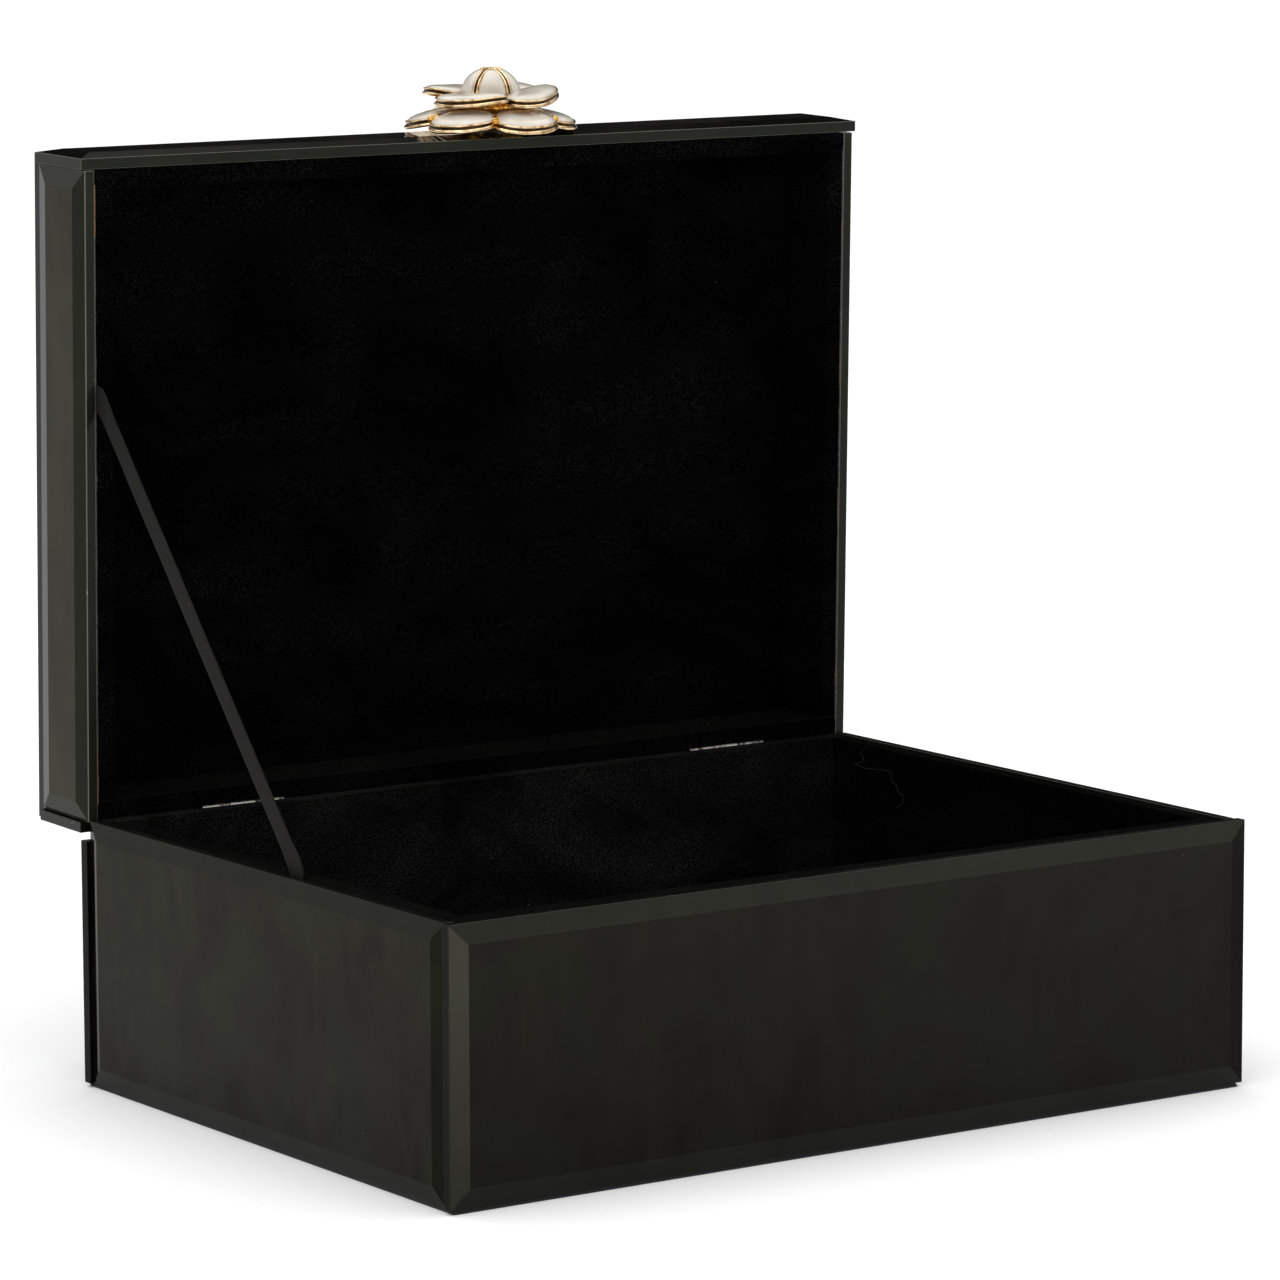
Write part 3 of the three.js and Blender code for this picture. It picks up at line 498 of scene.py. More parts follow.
def rounded_copy(node, name, radius, segments):
    """The CAD node's own shape with its flat faces merged and its sharp edges rounded."""
    mesh = NODES[node].data.copy()
    mesh.name = name
    work = bmesh.new()
    work.from_mesh(mesh)
    bmesh.ops.remove_doubles(work, verts=work.verts, dist=WELD)
    bmesh.ops.dissolve_limit(work, angle_limit=FLAT_ANGLE, verts=work.verts, edges=work.edges)
    sharp = [e for e in work.edges if len(e.link_faces) == 2 and e.calc_face_angle(0) > SHARP_ANGLE]
    bmesh.ops.bevel(
        work, geom=sharp, offset=radius, offset_type="OFFSET", segments=segments,
        profile=0.5, affect="EDGES", clamp_overlap=True,
    )
    bmesh.ops.recalc_face_normals(work, faces=work.faces)
    work.to_mesh(mesh)
    work.free()
    return mesh


# ---- Glass

def glass_panel(node):
    """A panel with chamfered edges; faces, bevels, edges and chamfers each get their own finish."""
    outward = main_normal(node)
    largest = max(face.area for face in NODES[node].data.polygons)
    mesh = rounded_copy(node, node + "_polished", ARRIS, 2)
    lid = node.startswith("lid_")
    # The lid's panels other than its rear one keep the plain edge finish; the others get the darker copies,
    # painted shade.
    ground = lid and node != "lid_rear_glass"
    edges = [GLASS_EDGE, GLASS_ARRIS_HIGHLIGHT] if ground else [SHADED_EDGE, SHADED_ARRIS]
    faces = [GLASS_FACE, GLASS_BEVEL]
    if "_left_" in node or "_right_" in node:
        faces = [LID_SIDE_FACE, LID_SIDE_BEVEL] if lid else [BASE_SIDE_FACE, BASE_SIDE_BEVEL]
    finishes = [*faces, *edges, GLASS_LIT_END_BEVEL, GLASS_SHADED_FAR_BEVEL]
    add_piece(node + "_polished", mesh, finishes, body_of_node(node), [node])
    front = "_front_" in node
    for face in mesh.polygons:
        facing = abs(face.normal.dot(outward))
        if face.area < BROAD_AREA:
            face.material_index = CHAMFER
        elif facing > FACE_DOT and face.area > FACE_SHARE * largest:
            face.material_index = FACE
        elif facing > BEVEL_DOT:
            face.material_index = BEVEL
            # Left end bevels of the front panels get the painted-light copy, right end bevels the painted-shade
            # copy.
            if front and abs(face.normal.x) > END_TILT:
                face.material_index = LIT_END_BEVEL if face.normal.x < 0 else SHADED_FAR_BEVEL
        else:
            face.material_index = EDGE
        face.use_smooth = False


def main_normal(node):
    """The normal of a panel's bevelled face: the thinnest direction of the panel."""
    areas = {}
    for face in NODES[node].data.polygons:
        key = tuple(round(abs(value), 3) for value in face.normal)
        areas[key] = areas.get(key, 0) + face.area
    best = max(areas, key=areas.get)
    for face in NODES[node].data.polygons:
        if tuple(round(abs(value), 3) for value in face.normal) == best:
            return face.normal.copy()
    return Vector((0, 0, 1))


# ---- Velvet, felt and board

def velvet_sheet(node):
    """A lining sheet with soft folds at its edges."""
    mesh = rounded_copy(node, node + "_velvet", FOLD_RADIUS, 3)
    for face in mesh.polygons:
        face.use_smooth = False
    # The base's rear lining gets the brighter velvet, painted light.
    velvet = LIT_VELVET if node == "base_rear_lining" else VELVET
    add_piece(node + "_velvet", mesh, [velvet], body_of_node(node), [node])


def paint_node(node, material):
    """Gives a CAD node that is kept as it is its material."""
    mesh = NODES[node].data
    mesh.materials.clear()
    mesh.materials.append(material)


# ---- Ribbon stay

RIBBON_TURNS = 96
RIBBON_ACROSS = 8
RIBBON_HALF = 2.8 * MM
RIBBON_THICK = 0.4 * MM
RIBBON_LEAVES = 0.10         # share of its length where it leaves a wall
RIBBON_FAN_SHARE = 0.035
RIBBON_FAN = 0.22
RIBBON_KINK = 1.6 * MM
RIBBON_CORNER = 0.9 * MM
RIBBON_RIPPLE = 0.12 * MM
SELVEDGE_FROM = 0.8
SELVEDGE_RISE = 0.07 * MM
SELVEDGE_HALF = 0.08 * MM
WEB_SINK = 0.06 * MM
WEFT = 0.55 * MM
NEAR = 0.2 * MM              # how close to an end a vertex belongs to it


def ribbon_line():
    """The ribbon's middle line, from its tucked end in the base to its tucked end in the lid."""
    low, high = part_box("ribbon_stay")
    x = (low.x + high.x) / 2
    mesh = NODES["ribbon_stay"].data
    verts = sorted({(round(v.co.z, 7), round(v.co.y, 7)) for v in mesh.vertices})
    verts = [(y, z) for z, y in verts]
    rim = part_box("base_left_lining")[1].z
    lowest = [p for p in verts if p[1] < low.z + NEAR]
    base_y = sum(p[0] for p in lowest) / len(lowest)
    lid_edge = [p for p in verts if p[0] > high.y - NEAR]
    lid_z = sum(p[1] for p in lid_edge) / len(lid_edge)
    lid_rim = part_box("lid_left_lining")[0].y
    return [
        Vector((x, base_y, low.z)),
        Vector((x, base_y, rim + RIBBON_KINK)),
        Vector((x, lid_rim + 2 * NEAR, lid_z - NEAR)),
        Vector((x, high.y, lid_z)),
    ]


def smooth_path(points, count, radius):
    """Points evenly along a polyline whose corners are rounded off by averaging."""
    lengths = [0.0]
    for a, b in zip(points, points[1:]):
        lengths.append(lengths[-1] + (b - a).length)
    total = lengths[-1]

    def at(distance):
        distance = min(max(distance, 0), total)
        for index in range(len(points) - 1):
            if distance <= lengths[index + 1]:
                share = (distance - lengths[index]) / (lengths[index + 1] - lengths[index])
                return points[index].lerp(points[index + 1], share)
        return points[-1].copy()

    path = []
    for step in range(count + 1):
        distance = total * step / count
        samples = [at(distance + radius * k / 4) for k in range(-4, 5)]
        path.append(sum(samples, Vector()) / len(samples))
    path[0], path[-1] = points[0].copy(), points[-1].copy()
    return path


def ribbon_fan(share):
    """How far the ribbon has spread, from 0 along its run to 1 where it enters the walls."""
    near_base = max(0.0, 1 - abs(share - RIBBON_LEAVES) / RIBBON_FAN_SHARE)
    near_lid = max(0.0, 1 - abs(share - 1 + RIBBON_LEAVES) / RIBBON_FAN_SHARE)
    return min(1.0, near_base + near_lid)


def ribbon_rows(path):
    """The ribbon's vertices, a ring of them at each step, with their weave coordinates."""
    vertices, coordinates = [], []
    distance = 0.0
    for index, point in enumerate(path):
        before, after = path[max(index - 1, 0)], path[min(index + 1, len(path) - 1)]
        across = Vector((1, 0, 0)).cross((after - before).normalized()).normalized()
        distance += (point - before).length
        ripple = RIBBON_RIPPLE * noise.noise(Vector((0, 0, 40 * distance)))
        wide = RIBBON_HALF * (1 + RIBBON_FAN * ribbon_fan(index / RIBBON_TURNS))
        for side in (1, -1):
            for step in range(RIBBON_ACROSS + 1):
                share = step / RIBBON_ACROSS * 2 - 1
                edge = SELVEDGE_RISE if abs(share) > SELVEDGE_FROM else 0
                lift = side * (RIBBON_THICK / 2 - WEB_SINK + edge) + ripple
                if abs(share) == 1:
                    lift = side * SELVEDGE_HALF + ripple
                vertices.append(point + across * (share * wide) + Vector((1, 0, 0)) * lift)
                coordinates.append((share, distance / WEFT))
    return vertices, coordinates


def ribbon_faces(steps):
    """The faces between the ribbon's rings, and its two ends."""
    faces = []
    sheet = RIBBON_ACROSS + 1
    row = 2 * sheet
    for index in range(steps):
        for side in (0, 1):
            for step in range(RIBBON_ACROSS):
                a = index * row + side * sheet + step
                faces.append((a, a + 1, a + 1 + row, a + row))
        for step in (0, RIBBON_ACROSS):
            a = index * row + step
            faces.append((a, a + sheet, a + sheet + row, a + row))
    for start in (0, steps * row):
        for a in range(start, start + RIBBON_ACROSS):
            faces.append((a, a + 1, a + sheet + 1, a + sheet))
    return faces


def ribbon_stay():
    """A woven strip with selvedges that follows the CAD ribbon's route from the base to the open lid."""
    path = smooth_path(ribbon_line(), RIBBON_TURNS, RIBBON_CORNER)
    vertices, coordinates = ribbon_rows(path)
    mesh = mesh_from("ribbon_stay_woven", vertices, ribbon_faces(len(path) - 1))
    layer = mesh.uv_layers.new(name="weave")
    for loop in mesh.loops:
        layer.data[loop.index].uv = coordinates[loop.vertex_index]
    piece = add_piece("ribbon_stay_woven", mesh, [RIBBON], None, ["ribbon_stay"])
    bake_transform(piece)


# ---- Flower knob

GLUE_LINE = 0.3 * MM
OUTLINE_POINTS = 44


def knob_frame():
    """Places a point of the knob (millimetres; z out from the glass) in the open lid."""
    low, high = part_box("knob_collar")
    lean = Matrix.Rotation(math.radians(90) - LID_OPEN, 4, "X")
    foot = Vector(((low.x + high.x) / 2, (low.y + high.y) / 2, low.z - GLUE_LINE))
    return Matrix.Translation(foot) @ lean @ Matrix.Scale(MM, 4)


KNOB = knob_frame()


def petal_outline(length, inner, width):
    """Outline points of a petal along +X: a rounded fan from its inner end to its tip."""
    points = []
    for index in range(OUTLINE_POINTS):
        turn = 2 * math.pi * index / OUTLINE_POINTS
        along = (1 - math.cos(turn)) / 2
        side = math.sin(turn)
        x = inner + (length - inner) * along
        fullness = (0.42 + 0.58 * math.sin(math.pi * min(along * 0.62 + 0.12, 1)))
        y = side * width * fullness * (abs(side) ** -0.28 if abs(side) > 0.02 else 1)
        points.append(Vector((x, y, 0)))
    return points


def shell(outline, centre, rings, height):
    """A closed petal-shaped body. Each ring is (share of the way out, inset in mm, lift in mm)."""
    vertices = []
    count = len(outline)
    for share, inset, lift in rings:
        for point in outline:
            reach = point - centre
            spot = centre + reach * share - reach.normalized() * inset
            vertices.append(Vector((spot.x, spot.y, height(spot.x, spot.y) + lift)))
    faces = ring_faces(len(rings), count)
    for ring in (0, len(rings) - 1):
        spot = Vector((centre.x, centre.y, height(centre.x, centre.y) + rings[ring][2]))
        vertices.append(spot)
        middle = len(vertices) - 1
        for index in range(count):
            faces.append((ring * count + index, ring * count + (index + 1) % count, middle))
    return vertices, faces


# Sections of a petal's tray and enamel: (share of the way out, inset in mm, lift in mm)
TRAY_RINGS = [
    (0.3, 0, -1.5), (0.7, 0, -1.6), (1, 1.2, -1.8), (1, 0.55, -1.95), (1, 0.15, -1.85), (1, -0.1, -1.45),
    (1, 0.05, -1.05), (1, 0.42, -0.86), (1, 0.66, -0.76), (1, 0.68, -0.3), (1, 0.4, -0.18), (1, 0.28, 0.04),
    (1, 0.38, 0.27), (1, 0.6, 0.34), (1, 0.84, 0.2), (1, 0.88, -0.1), (0.6, 0, -0.1), (0.2, 0, -0.1),
]
GROOVE_RINGS = (7, 8, 9)
ENAMEL_RINGS = [
    (0.3, 0, -0.02), (1, 1.1, -0.02), (1, 0.92, -0.02), (1, 0.9, 0.1), (1, 1.0, 0.3), (1, 1.35, 0.56),
    (0.85, 0.7, 0.86), (0.6, 0.2, 1.1), (0.3, 0, 1.18),
]


def join_shells(name, parts, place):
    """Several (vertices, faces) bodies as one mesh, placed by a matrix each."""
    vertices, faces = [], []
    for (points, polygons), matrix in zip(parts, place):
        offset = len(vertices)
        vertices.extend(matrix @ Vector(point) for point in points)
        faces.extend(tuple(index + offset for index in polygon) for polygon in polygons)
    return mesh_from(name, vertices, faces)


def darken_grooves(mesh, count, rings):
    """Gives the groove faces of every petal in a joined mesh the second material, the painted groove shade."""
    per_petal = (rings - 1) * count + 2 * count
    for face in mesh.polygons:
        within = face.index % per_petal
        if within < (rings - 1) * count and within // count in GROOVE_RINGS:
            face.material_index = 1


def petal_height(layer, index):
    """A petal's surface: it slopes out, droops at its tip, and cups or twists across."""
    root, tip = layer["root"], layer["tip"]
    inner, length = layer["inner"], layer["length"]
    rng = random.Random(layer["seed"] + index)
    twist = layer["twist"] * rng.uniform(0.7, 1.25)
    cup = layer["cup"] * rng.uniform(0.8, 1.3)
    curl = layer["curl"] * rng.uniform(0.6, 1.3)

    def height(x, y):
        share = (x - inner) / (length - inner)
        sideways = y / layer["width"]
        slope = root + (tip - root) * share
        belly = curl * math.sin(math.pi * min(max(share, 0), 1))
        return slope + belly + cup * sideways ** 2 + twist * sideways * (0.3 + 0.7 * share)

    return height


LOWER = {
    "angles": LOWER_PETAL_ANGLES, "inner": 7.0, "length": 24.2, "width": 9.9, "root": 5.6, "tip": 2.1,
    "twist": 0.5, "cup": -0.6, "curl": 0.7, "tilt": 0.0, "seed": 3,
}
UPPER = {
    "angles": UPPER_PETAL_ANGLES, "inner": 4.5, "length": 19.4, "width": 11.4, "root": 9.6, "tip": 10.2,
    "twist": 1.6, "cup": 0.2, "curl": 0.6, "tilt": 3.6, "seed": 11,
}


LOW_SIDE = Vector((-0.568, -0.823, 0))  # the way a tilted layer leans
PETAL_CENTRE = 0.52


def layer_tilt(layer):
    """Leans a whole layer about the middle of its roots."""
    level = Vector((0, 0, layer["root"]))
    axis = Vector((0, 0, 1)).cross(LOW_SIDE)
    lean = Matrix.Rotation(math.radians(layer["tilt"]), 4, axis)
    return Matrix.Translation(level) @ lean @ Matrix.Translation(-level)


def petal_layer(name, layer):
    """One layer of petals: gold trays with raised rims, and the enamel that fills them."""
    trays, fills, places = [], [], []
    tilt = layer_tilt(layer)
    for index, angle in enumerate(layer["angles"]):
        rng = random.Random(layer["seed"] * 7 + index)
        length = layer["length"] * rng.uniform(0.965, 1.0)
        outline = petal_outline(length, layer["inner"], layer["width"] * rng.uniform(0.95, 1.05))
        centre = Vector((layer["inner"] + PETAL_CENTRE * (length - layer["inner"]), 0, 0))
        height = petal_height(layer, index)
        trays.append(shell(outline, centre, TRAY_RINGS, height))
        fills.append(shell(outline, centre, ENAMEL_RINGS, height))
        turn = Matrix.Rotation(math.radians(angle + rng.uniform(-2, 2)), 4, "Z")
        step = Matrix.Translation((0, 0, 0.22 * (index % 2)))
        places.append(KNOB @ tilt @ step @ turn)
    tray_mesh = join_shells(name + "_trays", trays, places)
    fill_mesh = join_shells(name + "_enamel_fills", fills, places)
    add_piece(name + "_trays", tray_mesh, [GOLD, GROOVE_SHADE], "lid", [name])
    darken_grooves(tray_mesh, OUTLINE_POINTS, len(TRAY_RINGS))
    enamel_node = name.replace("_petals", "_enamel")
    add_piece(name + "_enamel_fills", fill_mesh, [ENAMEL], "lid", [enamel_node])


BUD_LOW = 9.7
BUD_TOP = 17.1
BUD_RADIUS = 8.05
BUD_BEADS = 11
BUD_BEAD_CIRCLE = 2.6
BUD_RIB = 0.3
BUD_RIB_SPREAD = math.radians(4.0)
BUD_PANEL_GAP = math.radians(8.5)
DOME_RINGS = 16
DOME_AROUND = 60


def bud_point(turn, climb, grow):
    """A point over the bud's dome, raised by grow."""
    flat = (BUD_RADIUS + grow) * math.cos(climb)
    z = BUD_LOW + (BUD_TOP - BUD_LOW + grow) * math.sin(climb)
    return polar(flat, turn, z)


def bud_core():
    """The gold dome under the enamel panels, closed underneath."""
    profile = [(0.0, BUD_LOW - 1.2), (0.8, BUD_LOW - 1.2), (0.97, BUD_LOW - 0.6)]
    profile = [(share * BUD_RADIUS, z) for share, z in profile]
    for ring in range(DOME_RINGS + 1):
        point = bud_point(0, math.pi / 2 * ring / DOME_RINGS, 0)
        profile.append((point.x, point.z))
    return lathe(profile, DOME_AROUND)


def lathe(profile, around):
    """A closed body of revolution from (radius, height) points that start and end on the axis."""
    inside = profile[1:-1]
    turns = [2 * math.pi * step / around for step in range(around)]
    vertices = [polar(radius, turn, z) for radius, z in inside for turn in turns]
    faces = ring_faces(len(inside), around)
    vertices.append(Vector((0, 0, profile[0][1])))
    vertices.append(Vector((0, 0, profile[-1][1])))
    last = (len(inside) - 1) * around
    for step in range(around):
        beside = (step + 1) % around
        faces.append((step, beside, len(vertices) - 2))
        faces.append((last + step, last + beside, len(vertices) - 1))
    return vertices, faces


def bud_panel(start, stop):
    """One pillowed enamel panel between two ribs."""
    rings, around = 16, 16
    low_turn, high_turn = math.radians(2), math.radians(74)
    vertices, faces = [], []
    for lift_scale in (1, 0):
        for ring in range(rings + 1):
            climb = low_turn + (high_turn - low_turn) * ring / rings
            for step in range(around + 1):
                share = step / around
                turn = start + (stop - start) * share
                pillow = (1 - abs(2 * share - 1) ** 4) * (1 - abs(2 * ring / rings - 1) ** 6)
                grow = -0.08 + lift_scale * (0.14 + 0.42 * pillow)
                vertices.append(bud_point(turn, climb, grow))
    row = around + 1
    sheet = (rings + 1) * row
    for ring in range(rings):
        for step in range(around):
            a = ring * row + step
            faces.append((a, a + 1, a + 1 + row, a + row))
            faces.append((a + sheet, a + row + sheet, a + 1 + row + sheet, a + 1 + sheet))
    border = list(range(row))
    border += [ring * row + around for ring in range(1, rings + 1)]
    border += [rings * row + step for step in range(around - 1, -1, -1)]
    border += [ring * row for ring in range(rings - 1, 0, -1)]
    for a, b in zip(border, border[1:] + border[:1]):
        faces.append((a, b, b + sheet, a + sheet))
    return vertices, faces


def tube(points, radius, sides=8):
    """A closed round tube along points."""
    vertices = []
    normal = Vector((0, 0, 1))
    for index, point in enumerate(points):
        before, after = points[max(index - 1, 0)], points[min(index + 1, len(points) - 1)]
        along = (after - before).normalized()
        side = along.cross(normal)
        side = side.normalized() if side.length > 1e-6 else Vector((1, 0, 0))
        up = side.cross(along).normalized()
        for step in range(sides):
            turn = 2 * math.pi * step / sides
            vertices.append(point + side * (radius * math.cos(turn)) + up * (radius * math.sin(turn)))
    faces = ring_faces(len(points), sides)
    faces.append(tuple(range(sides)))
    faces.append(tuple((len(points) - 1) * sides + step for step in range(sides)))
    return vertices, faces


RIB_STEPS = 18
RIB_FOOT = -8


def bud_line(angle, side, grow, reach):
    """Points of a line up the bud, beside the middle of a rib pair."""
    points = []
    for step in range(RIB_STEPS + 1):
        climb = math.radians(RIB_FOOT + reach * step / RIB_STEPS)
        turn = math.radians(angle) + side * BUD_RIB_SPREAD / max(math.cos(climb), 0.3)
        points.append(bud_point(turn, climb, grow))
    return points


def bud_ribs():
    """Pairs of polished ribs over the bud, with rings, beads and a small star at its top."""
    parts = [tube(bud_line(angle, side, 0.16, 86), BUD_RIB) for angle in BUD_RIBS for side in (-1, 1)]
    for radius, thick, z in ((2.0, 0.26, BUD_TOP - 0.12), (1.25, 0.2, BUD_TOP + 0.08)):
        turns = [2 * math.pi * k / 24 for k in range(25)]
        parts.append(tube([polar(radius, turn, z) for turn in turns], thick))
    for k in range(BUD_BEADS):
        place = polar(BUD_BEAD_CIRCLE, 2 * math.pi * k / BUD_BEADS, BUD_TOP - 0.12)
        points, polygons = nugget(k, (0.5, 0.5, 0.42))
        parts.append(([point + place for point in points], polygons))
    for angle in BUD_RIBS:
        tip = polar(1.6, math.radians(angle + BUD_RIB_STEP / 2), BUD_TOP + 0.1)
        parts.append(tube([Vector((0, 0, BUD_TOP + 0.2)), tip], 0.22))
    return parts


def bud_grooves():
    """The dark line between the two ribs of each pair, painted shade."""
    return [tube(bud_line(angle, 0, 0.06, 84), BUD_RIB) for angle in BUD_RIBS]


HUB = {"radius": 11.2, "low": 5.0, "high": 9.0, "lobes": 4, "seed": 2.0}
FOOT = {"radius": 9.2, "low": 0.5, "high": 4.6, "lobes": 6, "seed": 5.0}


def textured_hub(radius, low, high, lobes, seed):
    """A rough gold mass between two layers, lumpy like a nugget."""
    profile = [(0, low), (radius * 0.75, low), (radius, low * 0.5 + high * 0.5)]
    profile += [(radius * 0.92, high - 0.3), (radius * 0.7, high), (0, high)]
    dense = []
    for (ra, za), (rb, zb) in zip(profile, profile[1:]):
        for step in range(6):
            dense.append((ra + (rb - ra) * step / 6, za + (zb - za) * step / 6))
    dense.append(profile[-1])
    vertices, faces = lathe(dense, 96)
    bumped = []
    for point in vertices:
        flat = Vector((point.x, point.y, 0))
        turn = math.atan2(point.y, point.x)
        lobe = 1 + 0.12 * math.cos(lobes * turn + seed)
        rough = noise.noise(point * 1.9 + Vector((seed, 0, 0))) * 0.5 + noise.noise(point * 4.1) * 0.25
        outward = flat.normalized() if flat.length > 0.1 else Vector()
        bumped.append(Vector((point.x * lobe, point.y * lobe, point.z)) + outward * rough)
    return bumped, faces


def nugget(seed, size):
    """A rough grain of gold: a ball pushed in and out by noise."""
    work = bmesh.new()
    bmesh.ops.create_icosphere(work, subdivisions=3, radius=1)
    shift = Vector((seed * 3.1, seed * 1.7, 0))
    points = []
    for vertex in work.verts:
        lumps = 0.35 * noise.noise(vertex.co * 2.3 + shift)
        grains = 0.2 * noise.noise(vertex.co * 5.5 + shift)
        points.append(Vector(a * b for a, b in zip(vertex.co, size)) * (1 + lumps + grains))
    faces = [tuple(vertex.index for vertex in face.verts) for face in work.faces]
    work.free()
    return points, faces


def notch_nuggets():
    """Granular gold in the notches between the lower petals."""
    parts, places = [], []
    for index, angle in enumerate(LOWER_PETAL_ANGLES):
        for step, reach in enumerate((13.5, 17.0, 19.4)):
            size = (2.0 - 0.3 * step, 1.7 - 0.3 * step, 1.3 - 0.2 * step)
            parts.append(nugget(7 * index + step, size))
            turn = Matrix.Rotation(math.radians(angle + 30), 4, "Z")
            places.append(KNOB @ turn @ Matrix.Translation((reach, 0, 4.5 - 0.3 * step)))
    mesh = join_shells("knob_notch_grains", parts, places)
    add_piece("knob_notch_grains", mesh, [NUGGET], "lid")


def knob_part(name, parts, material, replaced=()):
    """Adds bodies made in the knob's own millimetres as one piece of the lid."""
    mesh = join_shells(name, parts, [KNOB] * len(parts))
    add_piece(name, mesh, [material], "lid", replaced)


def flower_knob():
    """The whole knob: petals, bud, and the textured gold between and under them."""
    petal_layer("knob_lower_petals", LOWER)
    petal_layer("knob_upper_petals", UPPER)
    knob_part("knob_bud_core", [bud_core()], GOLD, ["knob_bud"])
    panels = []
    for angle in BUD_RIBS:
        start, stop = math.radians(angle), math.radians(angle + BUD_RIB_STEP)
        panels.append(bud_panel(start + BUD_PANEL_GAP, stop - BUD_PANEL_GAP))
    knob_part("knob_bud_panels", panels, ENAMEL)
    knob_part("knob_bud_ribs", bud_ribs(), GOLD)
    knob_part("knob_textured_hub", [textured_hub(**HUB)], NUGGET, ["knob_spacer"])
    notch_nuggets()
    knob_part("knob_bud_grooves", bud_grooves(), GROOVE_SHADE)
    knob_part("knob_textured_foot", [textured_hub(**FOOT)], NUGGET, ["knob_collar"])


# ---- Lint

# The thread's route in mm: forward from the rear corner and down from the rim
LINT_ROUTE = [
    (16.8, 0.6), (14.4, 2.0), (16.1, 4.9), (10.6, 6.3), (16.5, 6.8), (25.8, 5.9), (29.2, 6.4), (28.4, 8.7),
    (31.7, 9.8), (32.6, 12.0), (34.3, 12.1), (33.8, 15.0), (30.4, 16.5),
]
LINT_RADIUS = 0.07 * MM
LINT_CURL = 0.8 * MM
LINT_STEPS = 110
LINT_SPLITS = 5


def lint_thread():
    """A loose curly thread on the velvet of the right wall, near the rear corner."""
    low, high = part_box("base_right_lining")
    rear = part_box("base_rear_lining")[0].y
    points = []
    for index, (here, there) in enumerate(zip(LINT_ROUTE, LINT_ROUTE[1:])):
        for step in range(LINT_SPLITS):
            share = step / LINT_SPLITS
            forward = here[0] * (1 - share) + there[0] * share
            down = here[1] * (1 - share) + there[1] * share
            off = 0.35 + 0.25 * math.sin(1.7 * index + share)
            points.append(Vector((low.x - off * MM, rear - forward * MM, high.z - down * MM)))
    vertices, faces = tube(smooth_path(points, LINT_STEPS, LINT_CURL), LINT_RADIUS, 6)
    add_piece("lint_thread", mesh_from("lint_thread", vertices, faces), [LINT], "base")


# ---- Velvet over the hinge leaves

FLAP = {"base": 0.15 * MM, "lid": 0.11 * MM}
FLAP_TO_PIN = {"base": 1.24 * MM, "lid": 1.15 * MM}
FLAP_OVERHANG = 1.2 * MM
FLAP_TURN_DOWN = 2.2 * MM
FLAP_GAP = 0.02 * MM
OPEN_LID = Matrix.Translation(PIN) @ Matrix.Rotation(-LID_OPEN, 4, "X") @ Matrix.Translation(-PIN)


def moved_points(node, matrix):
    """A CAD node's vertices in the world, moved by a matrix."""
    return [matrix @ (NODES[node].matrix_world @ v.co) for v in NODES[node].data.vertices]


def hinge_flap(side, body):
    """The velvet glued over a hinge leaf: it lies on the rim and turns down the inner wall."""
    place = OPEN_LID if body == "lid" else Matrix.Identity(4)
    spots = moved_points(f"hinge_{side}_{body}_leaf", place.inverted())
    rims = moved_points(f"{body}_rear_lining", place.inverted())
    facing = 1 if body == "base" else -1
    rim = max(facing * spot.z for spot in rims) * facing
    inner = min(spot.y for spot in rims)
    x_low = min(spot.x for spot in spots) - FLAP_OVERHANG
    x_high = max(spot.x for spot in spots) + FLAP_OVERHANG
    barrel = PIN.y - FLAP_TO_PIN[body]
    thick = FLAP[body]
    turned, under = rim - facing * FLAP_TURN_DOWN, rim - facing * FLAP_GAP
    outline = [
        (inner - thick, turned), (inner - thick, rim + facing * 0.2 * thick),
        (inner - 0.3 * thick, rim + facing * thick), (barrel, rim + facing * thick),
        (barrel, under), (inner + FLAP_GAP, under), (inner + FLAP_GAP, turned),
    ]
    vertices = [place @ Vector((x, y, z)) for x in (x_low, x_high) for y, z in outline]
    count = len(outline)
    faces = ring_faces(2, count)
    faces += [tuple(range(count)), tuple(range(count, 2 * count))]
    name = f"hinge_{side}_{body}_velvet"
    # The base's flaps get the brighter velvet, painted light.
    velvet = LIT_VELVET if body == "base" else VELVET
    add_piece(name, mesh_from(name, vertices, faces, False), [velvet], body)


# ---- Raw board edges at the rims

EDGE_STEPS = 120
CLEAN_SHARE = 0.915


def board_edge(body, name, line, seed, clean_from=1.0):
    """A thin line of raw fibreboard along a rim, between the glass and the velvet."""
    start, stop, across, down = line
    vertices = []
    for step in range(EDGE_STEPS + 1):
        share = step / EDGE_STEPS
        wobble = noise.noise(Vector((seed, 0, 22 * share)))
        wide = (0.32 + 0.2 * wobble) * MM
        sink = (0.16 + 0.16 * noise.noise(Vector((seed, 5, 37 * share)))) * MM
        top = start.lerp(stop, share) + down * sink
        vertices += [top, top + across * wide, top + across * wide + down * MM, top + down * MM]
    faces = ring_faces(EDGE_STEPS + 1, 4)
    last = EDGE_STEPS * 4
    faces += [(0, 1, 2, 3), (last, last + 1, last + 2, last + 3)]
    mesh = mesh_from(name, vertices, faces, False)
    add_piece(name, mesh, [RAW_BOARD, CLEAN_BOARD], body)
    for face in mesh.polygons:
        if face.index // 4 > clean_from * EDGE_STEPS:
            face.material_index = 1


